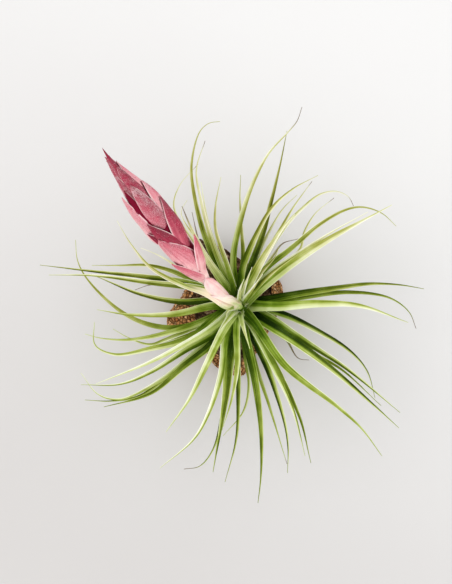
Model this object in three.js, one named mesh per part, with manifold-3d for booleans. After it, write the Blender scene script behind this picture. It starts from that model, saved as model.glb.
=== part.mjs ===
import Module from 'manifold-3d';
import * as THREE from 'three';
import { mergeVertices } from 'three/addons/utils/BufferGeometryUtils.js';

// An aeranthos air plant: a rosette of narrow channelled leaves on a short stem, a leaning spike of
// overlapping pink bracts on its stalk, and the piece of cork bark that the plant stands on.
// Millimetres, +Z up. The origin is on the cork's flat underside, straight below the stem.

const GAP = 0.3;
const HOLE_CLEARANCE = 0.45;
const FULL_TURN = 2 * Math.PI;
const UP = new THREE.Vector3(0, 0, 1);

// The plan points of leaves and stalk are given as they look from the eye point, drawn on the level
// plane, so a point above that plane really stands nearer to the line straight below the eye.
const EYE = new THREE.Vector3(-6.5, 7, 700);
const LEVEL = 45;

// Cork bark
const CORK_HEIGHT = 20;
const CORK_RING_POINTS = 40;
const CORK_CHIP = 0.9;
// Furrows in the bark on top: depth, and how fast they follow each other along X and Y
const CORK_FURROW = { depth: 1.4, alongX: 0.16, alongY: 0.3, fromHeight: 0.9 };
const CORK_OUTLINE = [
  [-20.4, 35.5], [-16, 33], [-2.6, 29.8], [5.5, 24], [22, 12], [22.5, 3], [16.2, -12.5], [10.5, -22],
  [3.1, -36], [-0.5, -37], [-10.5, -32.4], [-17.2, -24.5], [-24.5, -14.5], [-37, -10], [-36, -3.7],
  [-27.7, 7.3], [-22.5, 21.4],
];
// Each ring up the side and in over the top: height as a share of the whole, and reach from the middle.
const CORK_RINGS = [
  { height: 0, reach: 0.97 },
  { height: 0.14, reach: 1 },
  { height: 0.45, reach: 0.98 },
  { height: 0.76, reach: 1 },
  { height: 0.93, reach: 0.96 },
  { height: 1, reach: 0.84 },
  { height: 0.97, reach: 0.6 },
  { height: 0.96, reach: 0.34 },
];

// Stem
const STEM_SIDES = 14;
const STEM_FOOT_RADIUS = 6;
const STEM_FOOT_Z = 11;
const STEM_CROWN_Z = 52.5;
const STEM_PROFILE = [
  [STEM_FOOT_RADIUS, STEM_FOOT_Z], [STEM_FOOT_RADIUS, 22.5], [8.2, 25], [9.2, 29], [9, 35],
  [7.6, 42], [5.8, 48], [4.4, STEM_CROWN_Z],
];

// Leaves. Heights above the floor of the four control points along a leaf, root to tip, for the lowest
// and for the topmost leaf. The others lie between them by their rank.
const LOWEST_LEAF = [26, 35, 37, 27];
const TOPMOST_LEAF = [46, 90, 98, 102];
const LEAF_THICKNESS = 0.95;
const LEAF_EDGE_THICKNESS = 0.62;
const LEAF_CHANNEL = 0.24;
const LEAF_FULLNESS = 0.88;
const LEAF_TAPER = 0.95;
const LEAF_WIDTH_PLACE = 0.4;
const LEAF_TIP_WIDTH = 0.8;
const LEAF_STEP = 9.5;
const LEAF_LEAST_STEPS = 4;
const LEAF_ROLL = 0.22;
const SHEATH_LENGTH = 0.14;
const SHEATH_FLARE = 2.2;
const ROOT_DEPTH = 2.2;
// Half the distance over which a leaf's direction is taken, as a share of its length
const HALF_PACE = 0.01;

// Leaves by sector, clockwise from the right. rank: 0 is the lowest leaf and 1 the topmost. width: across
// the blade two fifths of the way along. plan: points along the leaf, the last one its tip.
const LEAVES = [
  { rank: 0.34, width: 3.6, plan: [[20.5, 4.3], [43, 8], [65.5, 11], [80.5, 10.5], [92.5, 8.5]] },
  { rank: 0.62, width: 4.6, plan: [[20.5, -0.3], [40.5, 1], [60.5, 0], [84.5, -8.3]] },
  { rank: 0.2, width: 3, plan: [[30.5, 4.5], [55.5, 7], [75.5, 4], [85, -3], [88.5, -11.3]] },
  { rank: 0.1, width: 3.2, plan: [[20.5, -3.5], [40.5, -13], [55.5, -22.5], [64, -32.5], [68, -46]] },
  { rank: 0.02, width: 2.2, plan: [[13, -9.5], [23, -16], [29.5, -26], [35, -27]] },
  { rank: 0.44, width: 3.4, plan: [[13, -4.5], [33, -17.5], [55.5, -32.5], [80.5, -53.3]] },
  { rank: 0.56, width: 4.2, plan: [[11.5, -7.5], [30.5, -19.5], [50.5, -34.8], [80, -61]] },
  { rank: 0.26, width: 2.4, plan: [[15, -11], [30.5, -20.5], [50.5, -31.3], [71, -49.8]] },
  { rank: 0.7, width: 3.8, plan: [[7.5, -8], [23, -29.5], [50.5, -51.3], [61.5, -61.5], [71.5, -75]] },
  { rank: 0.36, width: 3.4, plan: [[8, -12], [20.5, -34], [30.5, -56], [36, -78.5]] },
  { rank: 0.6, width: 3.4, plan: [[5.5, -8], [18, -32], [27, -52], [33, -75]] },
  { rank: 0.46, width: 3.4, plan: [[4, -9.5], [14.5, -32], [22.5, -57], [24.5, -70.5], [24.3, -83.5]] },
  { rank: 0.14, width: 2.4, plan: [[8.5, -29.5], [15.5, -51], [24, -79]] },
  { rank: 0.54, width: 4, plan: [[3, -14.5], [8, -37], [11, -62], [11, -84.5], [9.5, -98.5]] },
  { rank: 0.08, width: 2.6, plan: [[3.5, -27], [5, -39.5], [2, -53], [-8, -65]] },
  { rank: 0.3, width: 3, plan: [[-0.8, -22], [-0.3, -44.5], [-1.5, -67], [-7, -88]] },
  { rank: 0.84, width: 3.2, plan: [[-1.3, -12], [-1, -29.5], [-3.5, -46], [-8, -60.5]] },
  { rank: 0.48, width: 4.4, plan: [[-5, -19.5], [-6.5, -39.5], [-9, -59.5], [-13, -83]] },
  { rank: 0.24, width: 3, plan: [[-3.5, -27], [-5, -42], [-8.5, -62]] },
  { rank: 0.66, width: 3.6, plan: [[-6, -12], [-9, -34.5], [-17, -57.5], [-23.5, -67.5], [-39.5, -81]] },
  { rank: 0.12, width: 2.8, plan: [[-5, -22], [-7.5, -47], [-12.5, -70.5], [-19.5, -80], [-27.5, -81.5]] },
  { rank: 0.9, width: 4, plan: [[-7.5, -12], [-15.5, -28], [-24.5, -46], [-36.5, -63]] },
  { rank: 0.38, width: 3.8, plan: [[-13.5, -18.5], [-27, -29.5], [-44.5, -43.8], [-67.5, -50.5]] },
  { rank: 0.16, width: 3.2, plan: [[-17, -20], [-32, -32], [-49.5, -44.8], [-64.5, -47.5], [-77, -47]] },
  {
    rank: 0.28, width: 3,
    plan: [[-19.5, -20.5], [-39.5, -37], [-59.5, -46.5], [-70.5, -44], [-79, -33.5]],
  },
  { rank: 0.52, width: 3.4, plan: [[-12, -13], [-27, -22], [-44.5, -33], [-59.5, -39], [-79, -39.3]] },
  { rank: 0.74, width: 3.2, plan: [[-14.5, -11.5], [-29.5, -20.3], [-44.5, -28], [-71.5, -39]] },
  {
    rank: 0.32, width: 2.8,
    plan: [[-19.5, -9.5], [-37, -17], [-44.5, -19.3], [-55.5, -15.8], [-63, -11.5]],
  },
  { rank: 0.22, width: 2.4, plan: [[-22, -13], [-34.5, -17], [-44.5, -20]] },
  {
    rank: 0.64, width: 3.6,
    plan: [[-8.5, -3.5], [-24.5, -16], [-44.5, -21.5], [-62, -24.3], [-72, -19.5], [-72.3, -8]],
  },
  { rank: 0.42, width: 3.2, plan: [[-12, -5], [-32, -12.5], [-54.5, -16.8], [-69.5, -16], [-77, -14]] },
  {
    rank: 0.06, width: 3,
    plan: [[-14.5, -7], [-34.5, -11], [-54.5, -5.5], [-73.5, 10.5], [-80.5, 22], [-81.8, 33]],
  },
  { rank: 0.58, width: 3.6, plan: [[-13, 0], [-32, -4], [-54.5, -4.3], [-71, -1.8]] },
  { rank: 0.4, width: 3.4, plan: [[-14.5, 2.3], [-29.5, 2], [-49.5, 6], [-74, 16]] },
  { rank: 0.5, width: 3.2, plan: [[-17, 8], [-44.5, 11.8], [-73, 15.3], [-95, 15.5]] },
  { rank: 0.3, width: 3.2, plan: [[-22, 10.5], [-44.5, 14.3], [-74.5, 17.5], [-99.5, 20.5]] },
  { rank: 0.02, width: 2, plan: [[-20, 9], [-38, 10.8], [-45.5, 10.3], [-52, 8]] },
  { rank: 0.16, width: 3, plan: [[-28.5, 15.5], [-44.5, 20.3], [-59.5, 20.3], [-73.5, 20.3]] },
  { rank: 0.36, width: 2.2, plan: [[-18, 12], [-27, 17], [-39.5, 25], [-49, 29]] },
  { rank: 0.14, width: 2.4, plan: [[-19.5, 28], [-32.5, 49.5], [-29.5, 60.5], [-20.5, 70.8]] },
  { rank: 0.24, width: 2.2, plan: [[-19.5, 30.5], [-29, 46.5], [-26, 53]] },
  { rank: 0.04, width: 2.2, plan: [[-15, 22], [-19.5, 30.5], [-21.5, 38], [-23.5, 47]] },
  { rank: 0.42, width: 4.2, plan: [[-8.5, 13], [-16, 24], [-24.5, 40.5], [-28.5, 50]] },
  {
    rank: 0.28, width: 3,
    plan: [[-7, 13], [-16, 31.5], [-22, 53], [-23.8, 70.5], [-19.5, 86], [-9.5, 92.3]],
  },
  { rank: 0.48, width: 2.6, plan: [[-13, 30.5], [-19, 53], [-21.3, 68], [-17, 82.5]] },
  { rank: 0.36, width: 2.4, plan: [[-9, 22], [-15.5, 42], [-19, 62]] },
  { rank: 0.56, width: 2.6, plan: [[-6, 20.5], [-11.5, 38], [-11.8, 49.5], [-9, 64.5]] },
  { rank: 0.26, width: 2.6, plan: [[2, 25.5], [1.3, 38], [0.5, 53], [0.8, 65.5]] },
  { rank: 0.5, width: 3, plan: [[-3, 22], [-0.5, 38], [5.5, 58], [14.5, 76], [24.5, 87], [31, 97.5]] },
  { rank: 0.34, width: 2.8, plan: [[5.5, 19], [12, 37], [16.5, 54], [20.5, 70.5], [24, 87.5]] },
  { rank: 0.6, width: 3.2, plan: [[2, 19], [9.5, 37], [16.5, 49], [27, 58.5], [39.5, 65.3]] },
  { rank: 0.2, width: 2.4, plan: [[8, 22], [15.5, 38], [22, 48.5], [29, 55.5]] },
  { rank: 0.42, width: 2.6, plan: [[9.5, 19], [18.5, 34.5], [28, 50.5], [36.5, 62.3]] },
  { rank: 0.86, width: 4.6, plan: [[5.5, 11.5], [13.5, 26], [22, 39], [28, 46]] },
  {
    rank: 0.3, width: 2.8,
    plan: [[9.5, 19], [22, 38.5], [30.5, 47.8], [40.5, 55.8], [48.5, 57.3], [54.8, 54.5], [57.3, 50]],
  },
  { rank: 0.1, width: 2.2, plan: [[16, 15], [23, 20.5], [31, 29], [32.5, 36.5], [38, 46], [47.5, 54]] },
  { rank: 0.04, width: 2.4, plan: [[11.5, 17], [17.5, 26], [22, 31.3], [29.5, 33.5]] },
  {
    rank: 0.38, width: 3,
    plan: [[11.5, 17], [25.5, 28.5], [40.5, 41], [53, 48], [61.5, 49.5], [71.5, 46.3], [78.5, 40]],
  },
  { rank: 0.54, width: 2.4, plan: [[13, 14.5], [29, 26], [45.5, 36.5], [64.5, 47]] },
  { rank: 0.68, width: 5.2, plan: [[11.5, 9.5], [25.5, 20.5], [45.5, 33.5], [76.5, 50.5]] },
  { rank: 0.92, width: 2.6, plan: [[13, 13.5], [21, 20], [29.5, 26]] },
  { rank: 0.8, width: 2.4, plan: [[2, -9.5], [5.5, -21.5]] },
  { rank: 0.94, width: 2.2, plan: [[-6.5, -8], [-11, -14]] },
  { rank: 1, width: 2, plan: [[3, 10.5], [6.5, 19.5]] },
  { rank: 0.98, width: 2.2, plan: [[7, 9], [12, 16]] },
];

// Flower stalk, from its foot in the crown of the stem to its end inside the spike
const STALK_SIDES = 8;
const STALK_STEPS = 9;
const STALK_RADIUS = 2.1;
const STALK_END_RADIUS = 1.3;
const STALK_FOOT_Z = 43;
const STALK_ROUTE = [
  { seen: [0, 0], z: 49 },
  { seen: [0, 0], z: 53 },
  { seen: [-8.5, 5.5], z: 63 },
  { seen: [-16, 12.5], z: 70 },
  { seen: [-24.8, 23.3], z: 78.5 },
  { seen: [-33, 33.3], z: 86 },
  { seen: [-44, 47.8], z: 96.5 },
  { seen: [-53, 58.8], z: 105 },
  { seen: [-63.5, 71.5], z: 116 },
  { seen: [-69, 79.5], z: 122 },
];
// Shares of the stalk's length: the hole in the crown, the shoulder where the stalk thins, the start of the
// spike, and the stalk's thin end and the bore round it
const CROWN_HOLE = [0.01, 0.12];
const CROWN_HOLE_STEPS = 6;
const SHOULDER = 0.275;
const SHOULDER_LAP = 0.02;
const SPIKE_START = 0.285;
const STALK_END = 0.72;
const BORE = [0.235, 0.73];
// Horizontal direction to the right of the leaning stalk
const STALK_SIDE = new THREE.Vector3(0.75, 0.66, 0).normalize();

// The lowest stalk bract runs out into a leaf, and the next ones clasp the stalk up to the spike.
const BRACT_LEAF = {
  root: [-0.6, 0.3],
  width: 3.1,
  flare: 4,
  sheath: 0.3,
  heights: [53.6, 64, 78, 74],
  plan: [[-12, 4.5], [-29.5, 10], [-44.5, 19.5], [-54.5, 31.5], [-61, 42.5]],
};
// base and tip: shares of the stalk's length. around: the middle, in degrees about the stalk from its upper
// side, right is positive. reach: degrees to each side. radius: how far the bract bows out.
const CLASP_BOW = [0.1, 0.9];
const CLASP_POINT = 3;
const STALK_BRACTS = [
  { base: 0.09, tip: 0.175, around: -50, reach: 125, radius: 3 },
  { base: 0.115, tip: 0.279, around: 10, reach: 125, radius: 3.6 },
  { base: 0.125, tip: 0.272, around: 190, reach: 120, radius: 3.3 },
];

// Spike, measured as shares of its own length from its lower end
const SPIKE_CORE_SIDES = 10;
const SPIKE_CORE_STEPS = 8;
const SPIKE_CORE_SHARE = 0.66;
const SPIKE_CORE_TOP = 0.93;
const SPIKE_CORE_POINT = 0.95;
// Radius of the spike at even steps, from its lower end to its tip
const SPIKE_RADII = [2.4, 5.6, 7.2, 7.6, 8.4, 8, 7.4, 5.4, 3.1, 1.5, 0.5];
const BRACT_THICKNESS = 0.7;
const BRACT_THICKNESS_SHARE = 0.6;
const BRACT_ROWS = 5;
const BRACT_COLUMNS = 4;
// A spike bract leaves the core over the first third of its length, and its upper half lies on the next ones.
const BRACT_RISE = 0.31;
const BRACT_ROOT_SHARE = 0.53;
const BRACT_LAP = 3;
const BRACT_LAP_PLACE = 0.6;
const BRACT_TIP_LAP = 0.9;
const BRACT_BASE_WIDTH = 0.62;
const BRACT_WIDENING = 1.1;
const BRACT_POINT = 2.4;
const BRACT_LEAST_RADIUS = 1.5;
const BRACT_MOST_REACH = 1.9;

// Spike bracts, lowest first. tip: where the tip lies, as a share of the spike. around: as for the stalk
// bracts. spread: how far the tip stands off.
const SPIKE_BRACTS = [
  { tip: 0.21, around: -64, length: 22, halfWidth: 5.5, spread: 0.4 },
  { tip: 0.3, around: 172, length: 27, halfWidth: 7, spread: 0 },
  { tip: 0.33, around: 78, length: 31, halfWidth: 5.6, spread: 3 },
  { tip: 0.375, around: -18, length: 34, halfWidth: 8, spread: 0.2 },
  { tip: 0.43, around: -88, length: 33, halfWidth: 6.6, spread: 0.8 },
  { tip: 0.47, around: 134, length: 33, halfWidth: 7, spread: 0 },
  { tip: 0.57, around: 38, length: 35, halfWidth: 8, spread: 0 },
  { tip: 0.6, around: -140, length: 35, halfWidth: 8, spread: 0 },
  { tip: 0.7, around: -50, length: 35, halfWidth: 8, spread: 0.5 },
  { tip: 0.735, around: -3, length: 35, halfWidth: 7.6, spread: 0 },
  { tip: 0.77, around: 72, length: 34, halfWidth: 7, spread: 0.2 },
  { tip: 0.8, around: 180, length: 33, halfWidth: 6.5, spread: 0 },
  { tip: 0.86, around: 8, length: 31, halfWidth: 5.6, spread: 0 },
  { tip: 0.93, around: -60, length: 28, halfWidth: 4.4, spread: 0 },
  { tip: 0.92, around: 118, length: 28, halfWidth: 4.4, spread: 0 },
  { tip: 1, around: 10, length: 30, halfWidth: 3.4, spread: 0 },
];

const wasm = await Module();
wasm.setup();

// Even random numbers from 0 to 1, the same ones each time for a seed.
function seededRandom(seed) {
  let state = seed;
  return () => {
    state = (state + 0x6d2b79f5) | 0;
    let mixed = Math.imul(state ^ (state >>> 15), 1 | state);
    mixed = (mixed + Math.imul(mixed ^ (mixed >>> 7), 61 | mixed)) ^ mixed;
    return ((mixed ^ (mixed >>> 14)) >>> 0) / 2 ** 32;
  };
}

function seenAt([x, y], z) {
  const share = (EYE.z - z) / (EYE.z - LEVEL);
  return new THREE.Vector3(EYE.x + (x - EYE.x) * share, EYE.y + (y - EYE.y) * share, z);
}

const stalkRoute = new THREE.CatmullRomCurve3([
  new THREE.Vector3(0, 0, STALK_FOOT_Z),
  ...STALK_ROUTE.map(({ seen, z }) => seenAt(seen, z)),
]);
const spikeLength = stalkRoute.getLength() * (1 - SPIKE_START);

function geometryFrom(positions, triangles) {
  const geometry = new THREE.BufferGeometry();
  geometry.setAttribute('position', new THREE.Float32BufferAttribute(positions, 3));
  geometry.setIndex(triangles);
  return geometry;
}

function toSolid(geometry) {
  const bare = geometry.clone();
  bare.deleteAttribute('normal');
  bare.deleteAttribute('uv');
  const merged = mergeVertices(bare, 1e-4);
  const mesh = new wasm.Mesh({
    numProp: 3,
    vertProperties: new Float32Array(merged.attributes.position.array),
    triVerts: new Uint32Array(merged.index.array),
  });
  return new wasm.Manifold(mesh);
}

function joined(solids) {
  return solids.reduce((whole, solid) => whole.add(solid));
}

// The outer skin of the largest body in a joined solid, without loose scraps or sealed hollows.
function toGeometry(solid) {
  const { vertProperties, triVerts } = solid.getMesh();
  const owner = Array.from({ length: vertProperties.length / 3 }, (_, index) => index);
  const find = (vertex) => {
    let top = vertex;
    while (owner[top] !== top) {
      top = owner[top];
    }
    owner[vertex] = top;
    return top;
  };
  const point = (vertex) => new THREE.Vector3().fromArray(vertProperties, vertex * 3);
  for (let i = 0; i < triVerts.length; i += 3) {
    owner[find(triVerts[i])] = find(triVerts[i + 1]);
    owner[find(triVerts[i + 1])] = find(triVerts[i + 2]);
  }
  const volumes = new Map();
  for (let i = 0; i < triVerts.length; i += 3) {
    const [a, b, c] = [point(triVerts[i]), point(triVerts[i + 1]), point(triVerts[i + 2])];
    const body = find(triVerts[i]);
    volumes.set(body, (volumes.get(body) ?? 0) + a.dot(b.cross(c)));
  }
  const largest = [...volumes].reduce((best, next) => (next[1] > best[1] ? next : best))[0];
  const kept = [];
  for (let i = 0; i < triVerts.length; i += 3) {
    if (find(triVerts[i]) === largest) {
      kept.push(triVerts[i], triVerts[i + 1], triVerts[i + 2]);
    }
  }
  return mergeVertices(geometryFrom(Array.from(vertProperties), kept), 1e-5);
}

// A closed thin blade from rows of upper and lower points, left to right, ending in one tip point. Both
// faces are split alike.
function bladeGeometry(rows, tip) {
  const across = rows[0].upper.length;
  const positions = [];
  rows.forEach(({ upper, lower }) => [...upper, ...lower].forEach((p) => positions.push(...p.toArray())));
  positions.push(...tip.toArray());
  const top = (row, k) => row * 2 * across + k;
  const under = (row, k) => top(row, k) + across;
  const end = rows.length * 2 * across;
  const last = rows.length - 1;
  const triangles = [];
  for (let row = 0; row < last; row += 1) {
    for (let k = 0; k < across - 1; k += 1) {
      triangles.push(top(row, k), top(row, k + 1), top(row + 1, k + 1));
      triangles.push(top(row, k), top(row + 1, k + 1), top(row + 1, k));
      triangles.push(under(row, k), under(row + 1, k + 1), under(row, k + 1));
      triangles.push(under(row, k), under(row + 1, k), under(row + 1, k + 1));
    }
    const right = across - 1;
    triangles.push(under(row, 0), top(row, 0), top(row + 1, 0));
    triangles.push(under(row, 0), top(row + 1, 0), under(row + 1, 0));
    triangles.push(top(row, right), under(row, right), under(row + 1, right));
    triangles.push(top(row, right), under(row + 1, right), top(row + 1, right));
  }
  for (let k = 0; k < across - 1; k += 1) {
    triangles.push(under(0, k), under(0, k + 1), top(0, k + 1));
    triangles.push(under(0, k), top(0, k + 1), top(0, k));
    triangles.push(top(last, k), top(last, k + 1), end);
    triangles.push(under(last, k + 1), under(last, k), end);
  }
  triangles.push(under(last, 0), top(last, 0), end);
  triangles.push(top(last, across - 1), under(last, across - 1), end);
  return geometryFrom(positions, triangles);
}

// A closed solid from rings of points, each anticlockwise from above and higher or further in than the last.
function ringsGeometry(rings, firstMiddle, lastMiddle) {
  const count = rings[0].length;
  const positions = rings.flat().flatMap((p) => p.toArray());
  positions.push(...firstMiddle.toArray(), ...lastMiddle.toArray());
  const first = rings.length * count;
  const triangles = [];
  for (let k = 0; k < count; k += 1) {
    const next = (k + 1) % count;
    for (let ring = 0; ring < rings.length - 1; ring += 1) {
      const low = ring * count;
      const high = low + count;
      triangles.push(low + k, low + next, high + next, low + k, high + next, high + k);
    }
    const top = first - count;
    triangles.push(next, k, first, top + k, top + next, first + 1);
  }
  return geometryFrom(positions, triangles);
}

function latheGeometry(profile, sides) {
  const points = [
    new THREE.Vector2(0, profile[0][1]),
    ...profile.map(([radius, z]) => new THREE.Vector2(radius, z)),
    new THREE.Vector2(0, profile.at(-1)[1]),
  ];
  return new THREE.LatheGeometry(points, sides).rotateX(Math.PI / 2);
}

function stretch(curve, from, to, steps) {
  return Array.from({ length: steps + 1 }, (_, i) => curve.getPointAt(from + ((to - from) * i) / steps));
}

function tubeGeometry(points, radius) {
  const section = new THREE.Shape().absarc(0, 0, radius, 0, FULL_TURN);
  return new THREE.ExtrudeGeometry(section, {
    steps: points.length - 1,
    curveSegments: STALK_SIDES / 2,
    extrudePath: new THREE.CatmullRomCurve3(points),
  });
}

// Height along a leaf, root 0 to tip 1, from its four control heights.
function heightAt([root, near, far, tip], along) {
  const back = 1 - along;
  return root * back ** 3 + 3 * near * along * back ** 2 + 3 * far * along ** 2 * back + tip * along ** 3;
}

// Width across a leaf: its stated width lies two fifths of the way along, and the root widens to a sheath.
function leafWidth({ width, flare = SHEATH_FLARE, sheath = SHEATH_LENGTH }, along) {
  const taper = ((1 - along) / (1 - LEAF_WIDTH_PLACE)) ** LEAF_TAPER;
  const blade = Math.max(LEAF_TIP_WIDTH, width * LEAF_FULLNESS * taper);
  return blade + flare * Math.max(0, 1 - along / sheath) ** 2;
}

// A narrow blade folded along its middle into a channel that opens upwards.
function leafSolid(leaf, root, heights, roll) {
  const plan = [root, ...leaf.plan].map(([x, y]) => new THREE.Vector3(x, y, 0));
  const planCurve = new THREE.CatmullRomCurve3(plan, false, 'centripetal');
  const steps = Math.max(LEAF_LEAST_STEPS, Math.round(planCurve.getLength() / LEAF_STEP));
  const at = (along) => {
    const { x, y } = planCurve.getPointAt(along);
    return seenAt([x, y], heightAt(heights, along));
  };
  const rows = [];
  for (let step = 0; step < steps; step += 1) {
    const along = step / steps;
    const middle = at(along);
    const behind = at(Math.max(0, along - HALF_PACE));
    const forward = at(along + HALF_PACE).sub(behind).normalize();
    const right = new THREE.Vector3().crossVectors(forward, UP).normalize().applyAxisAngle(forward, roll);
    const up = new THREE.Vector3().crossVectors(right, forward);
    const half = leafWidth(leaf, along) / 2;
    const fold = 2 * half * LEAF_CHANNEL;
    const place = (side, lift) => middle.clone().addScaledVector(right, side).addScaledVector(up, lift);
    rows.push({
      upper: [place(-half, fold), place(0, 0), place(half, fold)],
      lower: [
        place(-half, fold - LEAF_EDGE_THICKNESS),
        place(0, -LEAF_THICKNESS),
        place(half, fold - LEAF_EDGE_THICKNESS),
      ],
    });
  }
  return toSolid(bladeGeometry(rows, at(1)));
}

function stemRadiusAt(z) {
  const above = Math.max(1, STEM_PROFILE.findIndex((point) => point[1] >= z));
  const [lowRadius, lowZ] = STEM_PROFILE[above - 1];
  const [highRadius, highZ] = STEM_PROFILE[above];
  return THREE.MathUtils.mapLinear(z, lowZ, highZ, lowRadius, highRadius);
}

function leafRosette() {
  const random = seededRandom(7);
  const leaves = LEAVES.map((leaf) => {
    const heights = LOWEST_LEAF.map((low, i) => THREE.MathUtils.lerp(low, TOPMOST_LEAF[i], leaf.rank));
    const root = new THREE.Vector2(...leaf.plan[0]).setLength(stemRadiusAt(heights[0]) - ROOT_DEPTH);
    return leafSolid(leaf, root.toArray(), heights, (2 * random() - 1) * LEAF_ROLL);
  });
  const stem = toSolid(latheGeometry(STEM_PROFILE, STEM_SIDES));
  const holeEnd = new THREE.Vector3(0, 0, STALK_FOOT_Z - GAP);
  const holeRoute = [holeEnd, ...stretch(stalkRoute, ...CROWN_HOLE, CROWN_HOLE_STEPS)];
  const hole = toSolid(tubeGeometry(holeRoute, STALK_RADIUS + HOLE_CLEARANCE));
  return joined([stem, ...leaves]).subtract(hole);
}

function corkBark() {
  const random = seededRandom(21);
  const outline = new THREE.CatmullRomCurve3(
    CORK_OUTLINE.map(([x, y]) => new THREE.Vector3(x, y, 0)).reverse(),
    true,
    'centripetal',
  );
  const edge = Array.from({ length: CORK_RING_POINTS }, (_, k) => outline.getPointAt(k / CORK_RING_POINTS));
  const middle = edge.reduce((sum, p) => sum.add(p), new THREE.Vector3()).divideScalar(CORK_RING_POINTS);
  const furrowAt = ({ x, y }) => (
    CORK_FURROW.depth * Math.abs(Math.sin(CORK_FURROW.alongX * x + CORK_FURROW.alongY * y))
  );
  const rings = CORK_RINGS.map(({ height, reach }) => edge.map((p) => {
    const chip = height === 0 ? 0 : CORK_CHIP;
    const outwards = p.clone().sub(middle).normalize();
    const point = middle.clone().lerp(p, reach).addScaledVector(outwards, (2 * random() - 1) * chip);
    const furrow = height > CORK_FURROW.fromHeight ? furrowAt(point) : 0;
    return point.setZ(CORK_HEIGHT * height - furrow + random() * chip);
  }));
  const top = middle.clone().setZ(CORK_HEIGHT);
  const bark = toSolid(ringsGeometry(rings, middle, top));
  const socketRadius = STEM_FOOT_RADIUS + GAP;
  const socketProfile = [[socketRadius, STEM_FOOT_Z - GAP], [socketRadius, 2 * CORK_HEIGHT]];
  const socket = latheGeometry(socketProfile, STEM_SIDES);
  return bark.subtract(toSolid(socket));
}

// A point of the stalk's or spike's skin: along the stalk, at an angle about it and a distance from its axis.
function aroundStalk(along, angle, distance) {
  const share = THREE.MathUtils.clamp(along, 0, 1);
  const forward = stalkRoute.getTangentAt(share);
  const up = new THREE.Vector3().crossVectors(STALK_SIDE, forward).normalize();
  const right = new THREE.Vector3().crossVectors(forward, up);
  return stalkRoute.getPointAt(share)
    .addScaledVector(up, distance * Math.cos(angle))
    .addScaledVector(right, distance * Math.sin(angle));
}

// The share of the stalk's length that a share of the spike's length stands for
function onStalk(share) {
  return THREE.MathUtils.lerp(SPIKE_START, 1, share);
}

function spikeRadiusAt(share) {
  const place = THREE.MathUtils.clamp(share, 0, 1) * (SPIKE_RADII.length - 1);
  const low = Math.min(Math.floor(place), SPIKE_RADII.length - 2);
  return THREE.MathUtils.lerp(SPIKE_RADII[low], SPIKE_RADII[low + 1], place - low);
}

// A bract wrapped about the stalk's axis: its middle lies at an angle, and each row gives its share of the
// stalk's length, its distance from the axis, and the angle that it reaches to each side.
function wrappedBract(middleAngle, rows, tip) {
  const arc = ({ share, reach }, distance) => Array.from({ length: BRACT_COLUMNS + 1 }, (_, k) => (
    aroundStalk(share, middleAngle + reach * ((2 * k) / BRACT_COLUMNS - 1), distance)
  ));
  const skins = rows.map((row) => ({
    upper: arc(row, row.out),
    lower: arc(row, row.out - Math.min(BRACT_THICKNESS, row.out * BRACT_THICKNESS_SHARE)),
  }));
  return toSolid(bladeGeometry(skins, tip));
}

function bractRows(rowAt) {
  return Array.from({ length: BRACT_ROWS }, (_, row) => rowAt(row / BRACT_ROWS));
}

function claspingBract({ base, tip, around, reach, radius }) {
  const middleAngle = THREE.MathUtils.degToRad(around);
  const rows = bractRows((along) => {
    const bow = Math.sin(Math.PI * THREE.MathUtils.lerp(...CLASP_BOW, along));
    return {
      share: THREE.MathUtils.lerp(base, tip, along),
      out: THREE.MathUtils.lerp(STALK_RADIUS, radius, bow),
      reach: THREE.MathUtils.degToRad(reach) * (1 - along ** CLASP_POINT),
    };
  });
  return wrappedBract(middleAngle, rows, aroundStalk(tip, middleAngle, STALK_RADIUS));
}

function flowerStalk() {
  const thick = stretch(stalkRoute, 0, SHOULDER, STALK_STEPS);
  const thin = stretch(stalkRoute, SHOULDER - SHOULDER_LAP, STALK_END, STALK_STEPS);
  return joined([
    toSolid(tubeGeometry(thick, STALK_RADIUS)),
    toSolid(tubeGeometry(thin, STALK_END_RADIUS)),
    leafSolid(BRACT_LEAF, BRACT_LEAF.root, BRACT_LEAF.heights, 0),
    ...STALK_BRACTS.map(claspingBract),
  ]);
}

// A pointed bract of the spike: its base is sunk in the core and its tip laps over the bracts above it.
function spikeBract({ tip, around, length, halfWidth, spread }) {
  const base = Math.max(0, tip - length / spikeLength);
  const middleAngle = THREE.MathUtils.degToRad(around);
  const rows = bractRows((along) => {
    const share = THREE.MathUtils.lerp(base, tip, along);
    const sunk = spikeRadiusAt(share) * BRACT_ROOT_SHARE;
    const proud = spikeRadiusAt(share) + BRACT_LAP * (along - BRACT_LAP_PLACE) + spread * along ** 2;
    const out = THREE.MathUtils.lerp(sunk, proud, Math.min(1, along / BRACT_RISE));
    const half = halfWidth * (BRACT_BASE_WIDTH + BRACT_WIDENING * along) * (1 - along ** BRACT_POINT);
    const reach = Math.min(half / Math.max(out, BRACT_LEAST_RADIUS), BRACT_MOST_REACH);
    return { share: onStalk(share), out, reach };
  });
  const end = aroundStalk(onStalk(tip), middleAngle, spikeRadiusAt(tip) + BRACT_TIP_LAP + spread);
  return wrappedBract(middleAngle, rows, end);
}

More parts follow.
